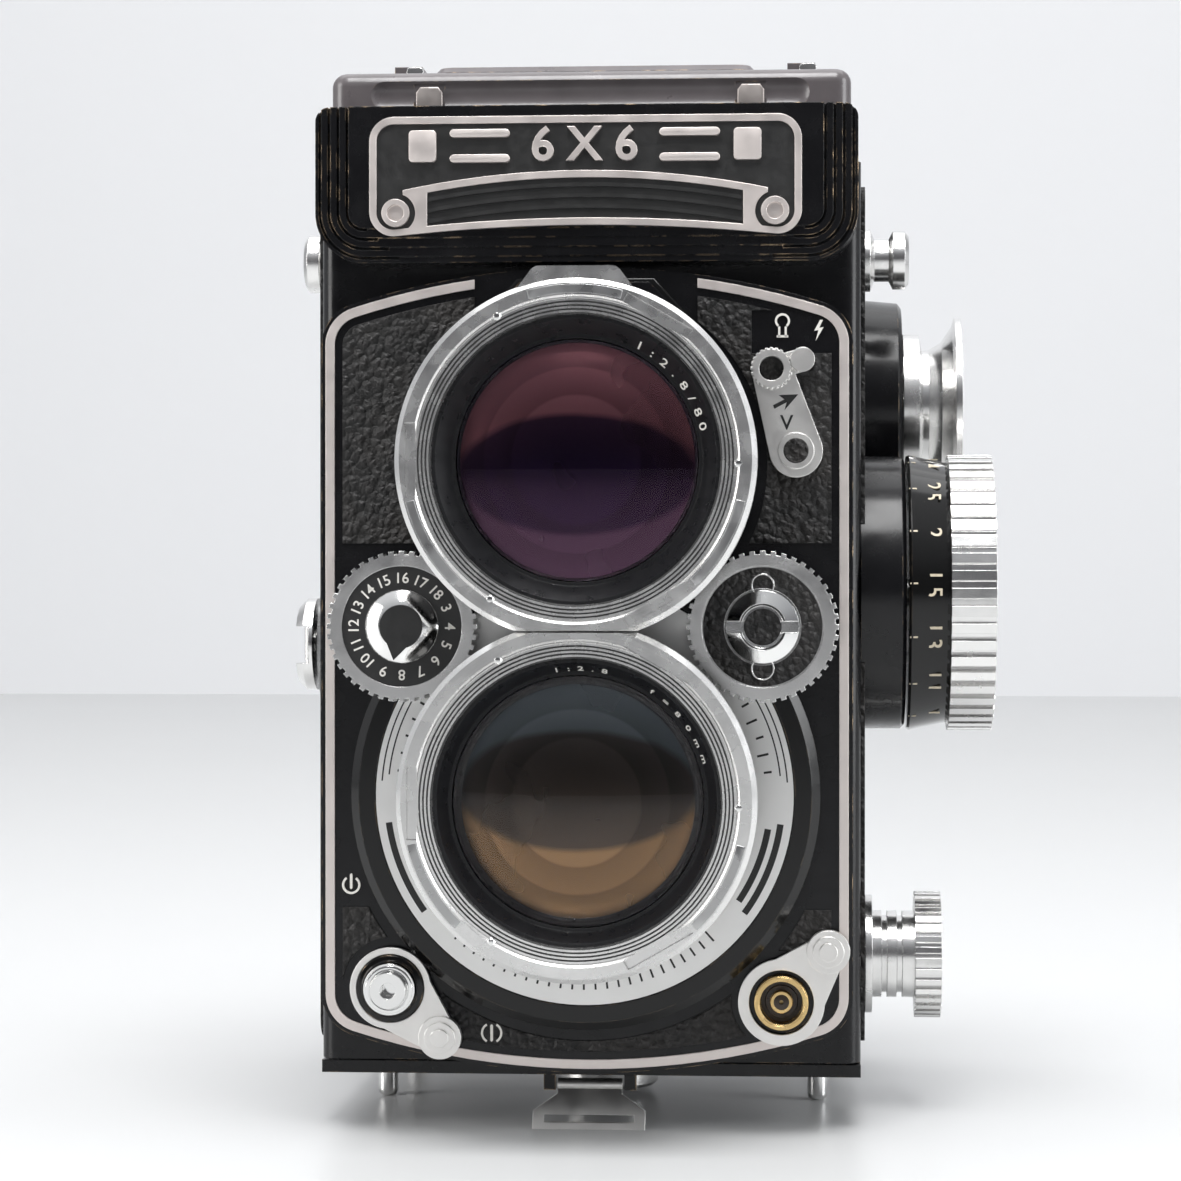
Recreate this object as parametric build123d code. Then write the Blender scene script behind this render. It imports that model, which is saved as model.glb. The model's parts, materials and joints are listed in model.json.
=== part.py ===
"""Twin lens reflex camera for 6x6 roll film, as separate pieces.

Frame: millimetres, +Z up, the lenses look along -Y, +X is the focusing knob's side.
The origin is the middle of the tripod socket's mouth.
"""
import os
from math import pi, sqrt

from build123d import *

# ---- Body casting ----
BODY_HALF_WIDTH = 38.4
BODY_FRONT = -36.0
BODY_BACK = 34.0
BODY_BOTTOM = 8.6
BODY_TOP = 136.0
WALL = 1.6
SIDE_WALL = 1.8
BODY_CORNER = 2.5
LEATHER = 0.6
LEATHER_CORNER = 3.0
SIDE_LEATHER_FRONT = -32.5
SIDE_LEATHER_BACK = 32.0
SIDE_LEATHER_BOTTOM = 11.0
SIDE_LEATHER_TOP = 133.0
REAR_WALL_BOTTOM = 119.0
CHAMBER_HALF_WIDTH = 30.8
CHAMBER_WALL = 1.2
GAP = 0.3

# ---- Optics ----
VIEW_AXIS_Z = 93.0
TAKE_AXIS_Z = 47.0
FILM_PLANE_Y = 31.0
GATE = 56.0
GATE_SETBACK = 0.2
CHAMBER_FLOOR_FRONT_Z = 30.0
CHAMBER_FLOOR_BACK_Z = 18.0
CHAMBER_FLOOR_BEND_Y = -8.0
CHAMBER_ROOF_FRONT_Z = 66.5
CHAMBER_ROOF_SLOPE = 0.1525
DIVIDER_FRONT_Y = -27.0
SIDE_WING_FRONT_Y = -25.0
SCREEN_LIP = 1.0
MIRROR_OFFSET = 99.0
MIRROR_THICKNESS = 2.0
MIRROR_HALF_WIDTH = 29.0
MIRROR_FRONT_Y = -27.5
MIRROR_BACK_Y = 18.0
SCREEN_CENTRE_Y = -6.0
SCREEN_HALF = 28.0

# ---- Front panel and lens barrels ----
PANEL_FRONT = -43.0
PANEL_BACK = -39.0
PANEL_HALF_WIDTH = 37.2
PANEL_TOP = 120.6
PANEL_BOTTOM = 8.0
PANEL_ARC = 110.0
PANEL_CORNER = 6.0
SKIRT_BACK = -36.3
SKIRT = 1.5
BARREL_RADIUS = 22.0
BARREL_BORE = 19.4
FLANGE_RADIUS = 24.3
FLANGE_FLAT = 22.85
FLANGE_THICKNESS = 4.0
BAYONET_GROOVES = 4
BAYONET_GROOVE_PITCH = 0.52
VIEW_RING_FRONT = -64.0
TAKE_RING_FRONT = -62.5
VIEW_GLASS_RADIUS = 16.4
TAKE_GLASS_RADIUS = 17.1
SHUTTER_CAN_RADIUS = 28.0
BEZEL_INNER = 29.2
BEZEL_OUTER = 32.7
BEZEL_FRONT = -46.5
SHUTTER_FACE_Y = -46.0
SHUTTER_FLOOR_Y = -44.6
SHUTTER_WALL = 1.5
COVER_RING_FRONT = -46.9
COVER_RING_INNER = 22.1
BLADE_RADIUS = 22.5
COVER_RING_OUTER = 29.0
LIGHT_TRAP_BACK = -26.0
VIEW_TRAP_RADIUS = 18.0
TAKE_TRAP_RADIUS = 16.0

# ---- Setting wheels ----
WHEEL_X = 24.8
WHEEL_Z = 70.5
WHEEL_RADIUS = 10.4
WHEEL_FRONT = -51.6
WHEEL_BACK = -47.6
WHEEL_TEETH = 44
DIAL_RADIUS = 8.3
HUB_RADIUS = 5.0
HUB_CENTRE_RADIUS = 2.9
SPINDLE_RADIUS = 1.3

# ---- Small controls on the panel ----
SYNC_PIVOT = (29.3, 94.8)
SYNC_RING = (25.9, 106.2)
SYNC_BALL = (30.2, 107.4)
RELEASE = (-27.3, 19.8)
RELEASE_TAB = (-20.3, 13.0)
FLASH = (27.3, 18.3)
FLASH_TAB = (33.8, 25.4)
TAB_RADIUS = 3.0
LEVER_FRONT = -44.8
LEVER_BACK = -43.7

RELEASE_BUTTON_RADIUS = 3.6
RELEASE_BUTTON_FRONT = -46.2
CABLE_THREAD_RADIUS = 1.1
CABLE_THREAD_DEPTH = 3.0
FLASH_SLEEVE_RADIUS = 3.75
TRIM_GAP = 15.6
LEATHER_LOW = 31.0
LEATHER_HIGH = 82.0
LEATHER_LEAST_AREA = 30.0

# ---- Focusing drive ----
FOCUS_Y = -15.0
FOCUS_Z = 75.0
FOCUS_SHAFT_RADIUS = 2.0
FOCUS_BASE_RADIUS = 20.0
FOCUS_KNOB_RADIUS = 20.2
FOCUS_FLUTES = 50
FOCUS_BASE_END = 44.9
FOCUS_SCALE_START = 45.2
FOCUS_KNOB_START = 51.2
FOCUS_KNOB_END = 57.6
GEAR_MODULE = 0.4
PINION_TEETH = 13
RACK_X = 33.5
RACK_WIDTH = 2.6
RACK_BACK = -4.0
RACK_SLOT_BOTTOM = 69.3
RACK_SLOT_TOP = 73.4

# ---- Film transport ----
TAKEUP_Y = 20.5
TAKEUP_Z = 104.0
SUPPLY_Y = -17.0
SUPPLY_Z = 22.0
SPOOL_FLANGE_RADIUS = 12.5
SPOOL_CORE_RADIUS = 6.0
SPOOL_HALF_LENGTH = 32.5
SPOOL_FLANGE = 1.3
PIN_RADIUS = 2.5
PIN_END = 29.5
SHAFT_CLEARANCE = 0.05
ROLLER_RADIUS = 2.0
ROLLER_Y = 29.2
ROLLER_UPPER_Z = 80.2
ROLLER_LOWER_Z = 14.0
JOURNAL_RADIUS = 0.9

# ---- Wind crank on the -X side ----
CRANK_Y = -2.0
CRANK_Z = 67.0
CRANK_BOSS_RADIUS = 22.0
CRANK_BOSS_END = 43.7
CRANK_ARM_LENGTH = 26.0
CRANK_DISC_RADIUS = 7.0
CRANK_PIVOT_X = -45.4
CRANK_ARM_THICKNESS = 1.4
CRANK_ARM_WIDTH = 5.0
CRANK_HANDLE_RADIUS = 3.0
CRANK_DISC_FRONT = -46.6
CRANK_HANDLE_END = -39.4

# ---- Strap lugs and upper spool knob ----
LUG_Z = 125.3
LUG_RADIUS = 4.7
UPPER_KNOB_START = 45.6
LOWER_KNOB_HEAD = 46.4
LOWER_KNOB_RADIUS = 9.2
LOWER_KNOB_STEM = 6.3
LOWER_KNOB_GROOVE = 5.6
LOWER_KNOB_FLUTES = 36

# ---- Back, base and feet ----
COVER_BOTTOM = 6.5
COVER_PLATE = 1.8
COVER_TOP = 122.6
COVER_FRONT = -35.0
COVER_INNER_Y = 34.3
COVER_OUTER_Y = 37.0
BULGE_HALF_WIDTH = 30.0
BULGE_BOTTOM = 18.0
BULGE_TOP = 100.0
BULGE_OUTER_Y = 39.4
BULGE_WALL = 1.6
HINGE_Y = 37.0
HINGE_Z = 125.0
HINGE_KNUCKLE_RADIUS = 2.0
HINGE_PIN_RADIUS = 1.0
GROUND_Z = -0.8
FOOT_X = 32.3
FOOT_FRONT_Y = -9.0
FOOT_BACK_Y = 27.0
FOOT_RADIUS = 1.5
TRIPOD_BOSS_RADIUS = 8.0
TRIPOD_BORE_RADIUS = 2.6
TRIPOD_DEPTH = 5.5
LATCH_Y = -34.0
LATCH_Z = 5.0
LATCH_TIP_Y = -37.5
LATCH_HALF_WIDTH = 8.0

# ---- Hood ----
HOOD_HALF_WIDTH = 37.0
HOOD_BACK = 33.0
HOOD_FRAME_TOP = 143.0
HOOD_CORNER = 2.5
LID_CHANNEL_HALF = 29.0
LID_CHANNEL_RADIUS = 3.6
LID_CHANNEL_Y = BODY_FRONT - 2.9
LID_BOTTOM = 143.2
LID_CHANNEL_Z = LID_BOTTOM + 2.6
LID_TOP = 151.2
LID_STEP = 2.0
LID_FIELD_HALF = 23.4
LID_FIELD_FRONT = -27.0
LID_FIELD_BACK = 27.0
LID_STUD_X = 29.8
LID_STUD_TOP = 154.8
LID_SHELL = 1.0
LEAF_THICKNESS = 0.6
LEAF_HEIGHT = 25.0
LEAF_SPAN = 34.4
LEAF_HINGE_RADIUS = 0.5
SIDE_LEAF_HINGE_X = 35.3
SIDE_LEAF_Z = 143.9
REAR_LEAF_HINGE_Y = 31.3
REAR_LEAF_Z = 145.0
MITRE_CLEARANCE = 0.6
MAGNIFIER_HINGE_Y = -9.0
MAGNIFIER_Z = 146.7
MAGNIFIER_LENS_Y = 16.4
MAGNIFIER_RADIUS = 13.4
MAGNIFIER_LENS_RADIUS = 11.6
KNUCKLE_X = 22.85

# ---- Brow over the viewing lens ----
BROW_HALF_WIDTH = 37.9
BROW_FRONT = -45.0
BROW_BOTTOM = 121.2
BROW_TOP = 143.0
BROW_WALL = 1.6
BROW_CORNER = 7.0
BROW_TOP_CORNER = 2.0
BROW_RIB_INNER_X = 26.0
PLATE_HALF_WIDTH = 30.1
PLATE_TOP = 141.4
PLATE_BOTTOM_MIDDLE = 126.2
PLATE_BOTTOM_SIDE = 124.4
PLATE_CORNER = 3.4
PLATE_LINE = 1.0
ARCH_RADIUS = 125.0
ARCH_CROWN = 133.8
GRILLE_HALF_WIDTH = 22.0
RIVET_X = 26.4
RIVET_Z = 128.0
RIVET_RADIUS = 1.95


# ---- Helpers ----

def block(x0, x1, y0, y1, z0, z1):
    """Box between two corners."""
    middle = Pos((x0 + x1) / 2, (y0 + y1) / 2, (z0 + z1) / 2)
    return middle * Box(x1 - x0, y1 - y0, z1 - z0)


def rod_x(y, z, x0, x1, radius):
    """Round bar along X."""
    return Pos((x0 + x1) / 2, y, z) * Rot(0, 90, 0) * Cylinder(radius, x1 - x0)


def rod_y(x, z, y0, y1, radius):
    """Round bar along Y."""
    return Pos(x, (y0 + y1) / 2, z) * Rot(90, 0, 0) * Cylinder(radius, y1 - y0)


def rod_z(x, y, z0, z1, radius):
    """Round bar along Z."""
    return Pos(x, y, (z0 + z1) / 2) * Cylinder(radius, z1 - z0)


def tube_y(x, z, y0, y1, outer, inner):
    """Round tube along Y."""
    return rod_y(x, z, y0, y1, outer) - rod_y(x, z, y0 - 1, y1 + 1, inner)


def tube_x(y, z, x0, x1, outer, inner):
    """Round tube along X."""
    return rod_x(y, z, x0, x1, outer) - rod_x(y, z, x0 - 1, x1 + 1, inner)


def profile_x(points, x0, x1):
    """Extrude a (y, z) outline from x0 to x1."""
    face = Plane.YZ.offset(x0) * Polygon(*points, align=None)
    return extrude(face, amount=x1 - x0, dir=(1, 0, 0))


def front_plate(sketch, y_back, thickness):
    """Extrude an (x, z) sketch forward, from y_back towards -Y."""
    plane = Plane(origin=(0, y_back, 0), x_dir=(1, 0, 0), z_dir=(0, -1, 0))
    return extrude(plane * sketch, amount=thickness, dir=(0, -1, 0))


def turned_y(x, z, profile):
    """Turn a (radius, y) outline about a lens axis along Y."""
    outline = Plane.XY * Polygon(*profile, align=None)
    return Pos(x, 0, z) * revolve(outline, Axis.Y, 360)


def turned_x(y, z, profile):
    """Turn an (x, radius) outline about an axis along X."""
    outline = Plane.XY * Polygon(*profile, align=None)
    return Pos(0, y, z) * revolve(outline, Axis.X, 360)


def toothed(radius, depth, count, tip_share):
    """Knurled disc outline: a circle with square teeth standing on it."""
    width = 2 * pi * radius / count * tip_share
    tooth = Pos(radius - depth, 0) * Rectangle(2 * depth, width)
    teeth = [Rot(0, 0, 360 * i / count) * tooth for i in range(count)]
    return Circle(radius - depth) + teeth


def dome_y(x, z, radius, rim_y, apex_y):
    """Lens-shaped cap: flat at rim_y, bulging to apex_y (nearer the front)."""
    height = rim_y - apex_y
    ball = (radius ** 2 + height ** 2) / (2 * height)
    cap = Pos(x, apex_y + ball, z) * Sphere(ball)
    return cap & rod_y(x, z, apex_y - 1, rim_y, radius)


# ---- Body ----

def body_casting():
    """Open-backed shell with the mirror chamber, the dark chamber and the film gate."""
    half = BODY_HALF_WIDTH
    inner = half - SIDE_WALL
    room = CHAMBER_HALF_WIDTH
    front_in = BODY_FRONT + WALL
    shell = block(-half, half, BODY_FRONT, BODY_BACK, BODY_BOTTOM, BODY_TOP)
    corners = [e for e in shell.edges().filter_by(Axis.Z) if e.center().Y < 0]
    shell = fillet(corners, BODY_CORNER)
    shell -= block(-inner, inner, front_in, BODY_BACK + 1, BODY_BOTTOM - 1, BODY_TOP - WALL)
    shell += block(-inner, inner, BODY_BACK - WALL, BODY_BACK, REAR_WALL_BOTTOM, BODY_TOP - WALL)

    gate_back = FILM_PLANE_Y - GATE_SETBACK
    gate_front = gate_back - WALL
    roof_front_z = CHAMBER_ROOF_FRONT_Z
    roof_back_z = roof_front_z + CHAMBER_ROOF_SLOPE * (gate_back - front_in)
    floor_points = [(front_in, CHAMBER_FLOOR_FRONT_Z), (CHAMBER_FLOOR_BEND_Y, CHAMBER_FLOOR_FRONT_Z),
                    (gate_back, CHAMBER_FLOOR_BACK_Z)]
    outer = floor_points + [(gate_back, roof_back_z), (front_in, roof_front_z)]
    lowered = [(y, z - CHAMBER_WALL) for y, z in floor_points]
    raised = [(gate_back, roof_back_z + CHAMBER_WALL), (front_in, roof_front_z + CHAMBER_WALL)]
    dark = profile_x(lowered + raised, -room, room)
    dark -= profile_x(outer, -room + CHAMBER_WALL, room - CHAMBER_WALL)
    frame = block(-inner, inner, gate_front, gate_back, 17.0, roof_back_z + CHAMBER_WALL)
    half_gate = GATE / 2
    frame -= block(-half_gate, half_gate, gate_front - 1, gate_back + 1,
                   TAKE_AXIS_Z - half_gate, TAKE_AXIS_Z + half_gate)

    top = MIRROR_OFFSET - MIRROR_THICKNESS * sqrt(2)
    under = top - CHAMBER_WALL * sqrt(2)
    rear_in = BODY_BACK - WALL
    divider_y = DIVIDER_FRONT_Y
    divider = profile_x([(divider_y, under + divider_y), (rear_in, under + rear_in),
                         (rear_in, top + rear_in), (divider_y, top + divider_y)], -room, room)
    wing_y = SIDE_WING_FRONT_Y
    side_outline = [(front_in, roof_front_z), (wing_y, roof_front_z + CHAMBER_ROOF_SLOPE * 10),
                    (wing_y, under + wing_y), (rear_in, under + rear_in), (rear_in, BODY_TOP - WALL),
                    (front_in, BODY_TOP - WALL)]
    sides = [profile_x(side_outline, -room, -room + CHAMBER_WALL),
             profile_x(side_outline, room - CHAMBER_WALL, room)]

    boss = turned_x(CRANK_Y, CRANK_Z, [(-half, 0), (-half, CRANK_BOSS_RADIUS),
                                       (-CRANK_BOSS_END + 3.2, CRANK_BOSS_RADIUS * 0.74),
                                       (-CRANK_BOSS_END + 1.0, CRANK_BOSS_RADIUS * 0.45),
                                       (-CRANK_BOSS_END, CRANK_BOSS_RADIUS * 0.2), (-CRANK_BOSS_END, 0)])
    stub_end = SPOOL_HALF_LENGTH - 2.5
    stubs = [rod_x(y, z, -inner - 0.5, -stub_end, PIN_RADIUS)
             for y, z in ((TAKEUP_Y, TAKEUP_Z), (SUPPLY_Y, SUPPLY_Z))]
    knuckles = []
    for x0, x1 in ((-20.0, -14.0), (-4.0, 4.0), (14.0, 20.0)):
        knuckles.append(rod_x(HINGE_Y, HINGE_Z, x0, x1, HINGE_KNUCKLE_RADIUS))
        knuckles.append(block(x0, x1, BODY_BACK - 0.5, HINGE_Y, HINGE_Z - 1.2, HINGE_Z + 1.2))

    casting = shell + dark + frame + divider + sides + boss + stubs + knuckles

    opening = SCREEN_HALF - SCREEN_LIP
    casting -= block(-opening, opening, SCREEN_CENTRE_Y - opening, SCREEN_CENTRE_Y + opening,
                     BODY_TOP - 2 * WALL, BODY_TOP + 1)
    casting -= rod_y(0, VIEW_AXIS_Z, BODY_FRONT - 1, front_in + 0.5, VIEW_TRAP_RADIUS + 1)
    casting -= rod_y(0, TAKE_AXIS_Z, BODY_FRONT - 1, front_in + 0.5, TAKE_TRAP_RADIUS + 1)
    for side in (-1, 1):
        reach = RACK_WIDTH / 2 + 0.7
        casting -= block(side * RACK_X - reach, side * RACK_X + reach, BODY_FRONT - 1, front_in + 1,
                         RACK_SLOT_BOTTOM, RACK_SLOT_TOP)
    running = SHAFT_CLEARANCE
    casting -= rod_x(FOCUS_Y, FOCUS_Z, -half - 1, half + 1, FOCUS_SHAFT_RADIUS + running)
    casting -= rod_x(CRANK_Y, CRANK_Z, -half - 9, -inner + 1, PIN_RADIUS + running)
    casting -= rod_x(TAKEUP_Y, TAKEUP_Z, inner - 1, half + 1, PIN_RADIUS + running)
    casting -= rod_x(SUPPLY_Y, SUPPLY_Z, inner - 1, half + 1, PIN_RADIUS + running)
    casting -= rod_x(HINGE_Y, HINGE_Z, -21, 21, HINGE_PIN_RADIUS)
    for z in (ROLLER_UPPER_Z, ROLLER_LOWER_Z):
        casting -= rod_x(ROLLER_Y, z, -inner - 1, inner + 1, JOURNAL_RADIUS + running)
    return casting


def side_leathers():
    """Thin leather skins on the two sides, cut out round the bosses and lugs."""
    outer = BODY_HALF_WIDTH + LEATHER
    skin = block(-outer, outer, SIDE_LEATHER_FRONT, SIDE_LEATHER_BACK, SIDE_LEATHER_BOTTOM, SIDE_LEATHER_TOP)
    skin = fillet(skin.edges().filter_by(Axis.X), LEATHER_CORNER)
    skin -= block(-BODY_HALF_WIDTH, BODY_HALF_WIDTH, BODY_FRONT, BODY_BACK, 0, BODY_TOP)
    skin -= rod_x(CRANK_Y, CRANK_Z, -outer - 1, -30, CRANK_BOSS_RADIUS + 0.1)
    skin -= rod_x(FOCUS_Y, FOCUS_Z, 30, outer + 1, FOCUS_BASE_RADIUS + 0.1)
    skin -= rod_x(TAKEUP_Y, TAKEUP_Z, 30, outer + 1, 17.1)
    skin -= rod_x(SUPPLY_Y, SUPPLY_Z, 30, outer + 1, 9.0)
    skin -= rod_x(0, LUG_Z, -60, 60, LUG_RADIUS + 0.1)
    return skin


def strap_lugs():
    """Turned studs for the neck strap, one on each side."""
    root = BODY_HALF_WIDTH
    profile = [(root, 0), (root, LUG_RADIUS), (root + 1.8, LUG_RADIUS), (root + 2.4, 3.2), (root + 4.6, 3.2),
               (root + 5.2, 4.4), (root + 7.0, 4.4), (root + 7.6, 3.6), (root + 7.6, 0)]
    mirrored = [(-x, r) for x, r in profile]
    return turned_x(0, LUG_Z, profile) + turned_x(0, LUG_Z, mirrored)


def viewing_mirror():
    """Glass mirror at 45 degrees under the focusing screen."""
    shift = MIRROR_THICKNESS / sqrt(2)
    y0, y1, k = MIRROR_FRONT_Y, MIRROR_BACK_Y, MIRROR_OFFSET
    outline = [(y0, y0 + k), (y0 + shift, y0 + k - shift), (y1 + shift, y1 + k - shift), (y1, y1 + k)]
    return profile_x(outline, -MIRROR_HALF_WIDTH, MIRROR_HALF_WIDTH)


def focusing_screen():
    """Ground glass that rests on the casting's lip."""
    reach = SCREEN_HALF + 0.3
    return block(-reach, reach, SCREEN_CENTRE_Y - reach, SCREEN_CENTRE_Y + reach, BODY_TOP, BODY_TOP + 2.0)


def hood_frame():
    """Frame round the focusing screen that the hood folds onto."""
    half = HOOD_HALF_WIDTH
    frame = block(-half, half, BODY_FRONT, HOOD_BACK, BODY_TOP, HOOD_FRAME_TOP)
    frame = fillet(frame.edges().filter_by(Axis.Z), HOOD_CORNER)
    reach = SCREEN_HALF + 0.5
    return frame - block(-reach, reach, SCREEN_CENTRE_Y - reach, SCREEN_CENTRE_Y + reach,
                         BODY_TOP - 1, HOOD_FRAME_TOP + 1)


def brow_outline(inset):
    """Front view of the brow: square top, rounded lower corners."""
    half = BROW_HALF_WIDTH - inset
    height = BROW_TOP - BROW_BOTTOM - inset
    face = Pos(0, BROW_TOP - height / 2) * Rectangle(2 * half, height)
    lower = [v for v in face.vertices() if v.Y < BROW_TOP - height / 2]
    return fillet(lower, max(BROW_CORNER - inset, 1.0))


def brow_silhouette():
    """The brow's outer outline, with its small top corners rounded."""
    face = brow_outline(0)
    return fillet([v for v in face.vertices() if v.Y > BROW_TOP - 0.01], BROW_TOP_CORNER)


def brow_housing():
    """Hollow cover over the viewing lens with stepped ribs wrapping its lower corners."""
    depth = BODY_FRONT - BROW_FRONT
    brow = front_plate(brow_silhouette(), BODY_FRONT, depth - 0.8)
    for step in range(4):
        inset = 1.3 * (step + 1)
        brow += front_plate(brow_outline(inset - 0.45) & brow_silhouette(), BODY_FRONT,
                            depth - 0.8 + 0.2 * (step + 1))
        groove = brow_outline(inset - 0.8) - brow_outline(inset - 0.45)
        groove -= Pos(0, BROW_BOTTOM) * Rectangle(2 * BROW_RIB_INNER_X + 3 * step, 60)
        brow -= front_plate(groove, BROW_FRONT + 1.6, 3.0)
    below_top = Pos(0, BROW_BOTTOM) * Rectangle(90, 2 * (BROW_TOP - BROW_BOTTOM - BROW_WALL))
    hollow = brow_outline(BROW_WALL) & below_top
    brow -= front_plate(hollow, BODY_FRONT + 1, depth - 2.0 - BROW_WALL)
    return brow


def plate_outline(inset):
    """Nameplate outline: rounded top corners, a bottom edge that rises in the middle."""
    half = PLATE_HALF_WIDTH - inset
    top = PLATE_TOP - inset
    side = PLATE_BOTTOM_SIDE + inset
    middle = PLATE_BOTTOM_MIDDLE + inset
    corner = max(PLATE_CORNER - inset, 1.0)
    edge = Polyline((half, side), (half, top), (-half, top), (-half, side))
    arch = ThreePointArc((-half, side), (0, middle), (half, side))
    face = make_face([*edge.edges(), *arch.edges()])
    return fillet(face.vertices(), corner)


def below_arch(drop):
    """Half plane under the nameplate's arch line, lowered by drop."""
    return Pos(0, ARCH_CROWN - ARCH_RADIUS) * Circle(ARCH_RADIUS - drop)


def grille_window():
    """Opening of the grille: between the arch line and the lower edge."""
    window = Pos(0, PLATE_TOP - 10) * Rectangle(2 * GRILLE_HALF_WIDTH, 20)
    return window & below_arch(PLATE_LINE) & plate_outline(PLATE_LINE)


def grille_frame():
    """Bright field round the grille, scooped out round the rivets."""
    field = Pos(0, PLATE_TOP - 10) * Rectangle(2 * RIVET_X - 2.0, 24) & below_arch(0) & plate_outline(0.1)
    for side in (-1, 1):
        field -= Pos(side * RIVET_X, RIVET_Z) * Circle(RIVET_RADIUS + 0.8)
    return field - grille_window()


def nameplate_trim():
    """Bright outline, grille surround and two ring rivets of the nameplate."""
    line = plate_outline(0) - plate_outline(PLATE_LINE) + grille_frame()
    trim = front_plate(line, BROW_FRONT, 0.6)
    for side in (-1, 1):
        x = side * RIVET_X
        trim += tube_y(x, RIVET_Z, BROW_FRONT - 1.0, BROW_FRONT, RIVET_RADIUS, RIVET_RADIUS * 0.6)
        trim += rod_y(x, RIVET_Z, BROW_FRONT - 0.4, BROW_FRONT, RIVET_RADIUS * 0.7)
    return trim


def nameplate_panel():
    """Dark plate inside the outline, with the grille's three bars."""
    inside = plate_outline(PLATE_LINE) - grille_frame()
    for side in (-1, 1):
        inside -= Pos(side * RIVET_X, RIVET_Z) * Circle(RIVET_RADIUS)
    plate = front_plate(inside, BROW_FRONT, 0.25)
    inner = Pos(0, PLATE_TOP - 10) * Rectangle(2 * GRILLE_HALF_WIDTH - 0.4, 20)
    for drop in (1.7, 3.2, 4.7):
        bar = (below_arch(drop) - below_arch(drop + 0.55)) & inner & plate_outline(PLATE_LINE + 0.2)
        plate += front_plate(bar, BROW_FRONT, 0.6)
    return plate


# ---- Film transport ----

def film_roller(z):
    """Film guide roller with its journals."""
    roller = rod_x(ROLLER_Y, z, -33.0, 33.0, ROLLER_RADIUS)
    reach = BODY_HALF_WIDTH - SIDE_WALL + 0.7
    return roller + rod_x(ROLLER_Y, z, -reach, reach, JOURNAL_RADIUS)


def takeup_spool():
    """Empty film spool: core, two flanges and a bore for the end pins."""
    end = SPOOL_HALF_LENGTH
    spool = rod_x(TAKEUP_Y, TAKEUP_Z, -end, end, SPOOL_CORE_RADIUS)
    for x0 in (-end, end - SPOOL_FLANGE):
        spool += rod_x(TAKEUP_Y, TAKEUP_Z, x0, x0 + SPOOL_FLANGE, SPOOL_FLANGE_RADIUS)
    spool -= rod_x(TAKEUP_Y, TAKEUP_Z, -end - 1, end + 1, PIN_RADIUS + 0.1)
    spool -= block(-25, 25, TAKEUP_Y - 9, TAKEUP_Y + 9, TAKEUP_Z - 0.6, TAKEUP_Z + 0.6)
    return spool


def spool_knob_upper():
    """Pull-out knob for the upper spool: flared chrome head, neck and pin."""
    start = UPPER_KNOB_START
    profile = [(PIN_END, 0), (PIN_END, PIN_RADIUS), (start, PIN_RADIUS), (start, 11.5), (start + 2.5, 11.5),
               (start + 3.0, 9.0), (start + 4.0, 9.0), (start + 6.0, 10.2), (start + 7.6, 12.6),
               (start + 8.0, 14.0), (start + 9.0, 14.0), (start + 9.0, 10.0), (start + 8.4, 8.6),
               (start + 8.4, 0)]
    return turned_x(TAKEUP_Y, TAKEUP_Z, profile)


def spool_knob_base():
    """Fixed black ring under the upper spool knob."""
    root = BODY_HALF_WIDTH
    end = UPPER_KNOB_START - GAP
    profile = [(root, 12.2), (root, 17.0), (end - 0.6, 16.4), (end, 15.6), (end, 12.2)]
    return turned_x(TAKEUP_Y, TAKEUP_Z, profile)


def spool_knob_lower():
    """Pull-out knob for the lower spool: stem with two grooves, knurled head and pin."""
    root = BODY_HALF_WIDTH + 0.8
    head = LOWER_KNOB_HEAD
    wide = LOWER_KNOB_STEM
    narrow = LOWER_KNOB_GROOVE
    stem = [(PIN_END, 0), (PIN_END, PIN_RADIUS), (root, PIN_RADIUS), (root, 8.6), (root + 1.0, 8.6),
            (root + 1.0, wide), (root + 2.4, wide), (root + 2.4, narrow), (root + 3.2, narrow),
            (root + 3.2, wide), (root + 4.6, wide), (root + 4.6, narrow), (root + 5.4, narrow),
            (root + 5.4, wide), (head, wide), (head, 0)]
    knurl = Pos(SUPPLY_Y, SUPPLY_Z) * toothed(LOWER_KNOB_RADIUS, 0.5, LOWER_KNOB_FLUTES, 0.55)
    return turned_x(SUPPLY_Y, SUPPLY_Z, stem) + extrude(Plane.YZ.offset(head) * knurl, amount=3.8)


# ---- Focusing drive ----

def gear_outline(teeth):
    """Small pinion outline with plain tapered teeth and generous backlash."""
    pitch = GEAR_MODULE * teeth / 2
    root = pitch - 1.25 * GEAR_MODULE
    tip = pitch + 0.85 * GEAR_MODULE
    tooth = Polygon((root - 0.1, -0.28), (tip, -0.13), (tip, 0.13), (root - 0.1, 0.28), align=None)
    return Circle(root) + [Rot(0, 0, 360 * i / teeth - 90) * tooth for i in range(teeth)]


def focus_shaft():
    """Cross shaft with a pinion at each end."""
    shaft = rod_x(FOCUS_Y, FOCUS_Z, -37.8, FOCUS_KNOB_START, FOCUS_SHAFT_RADIUS)
    outline = Pos(FOCUS_Y, FOCUS_Z) * gear_outline(PINION_TEETH)
    for side in (-1, 1):
        x0 = side * RACK_X - RACK_WIDTH / 2
        shaft += extrude(Plane.YZ.offset(x0) * outline, amount=RACK_WIDTH)
    return shaft


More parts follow.
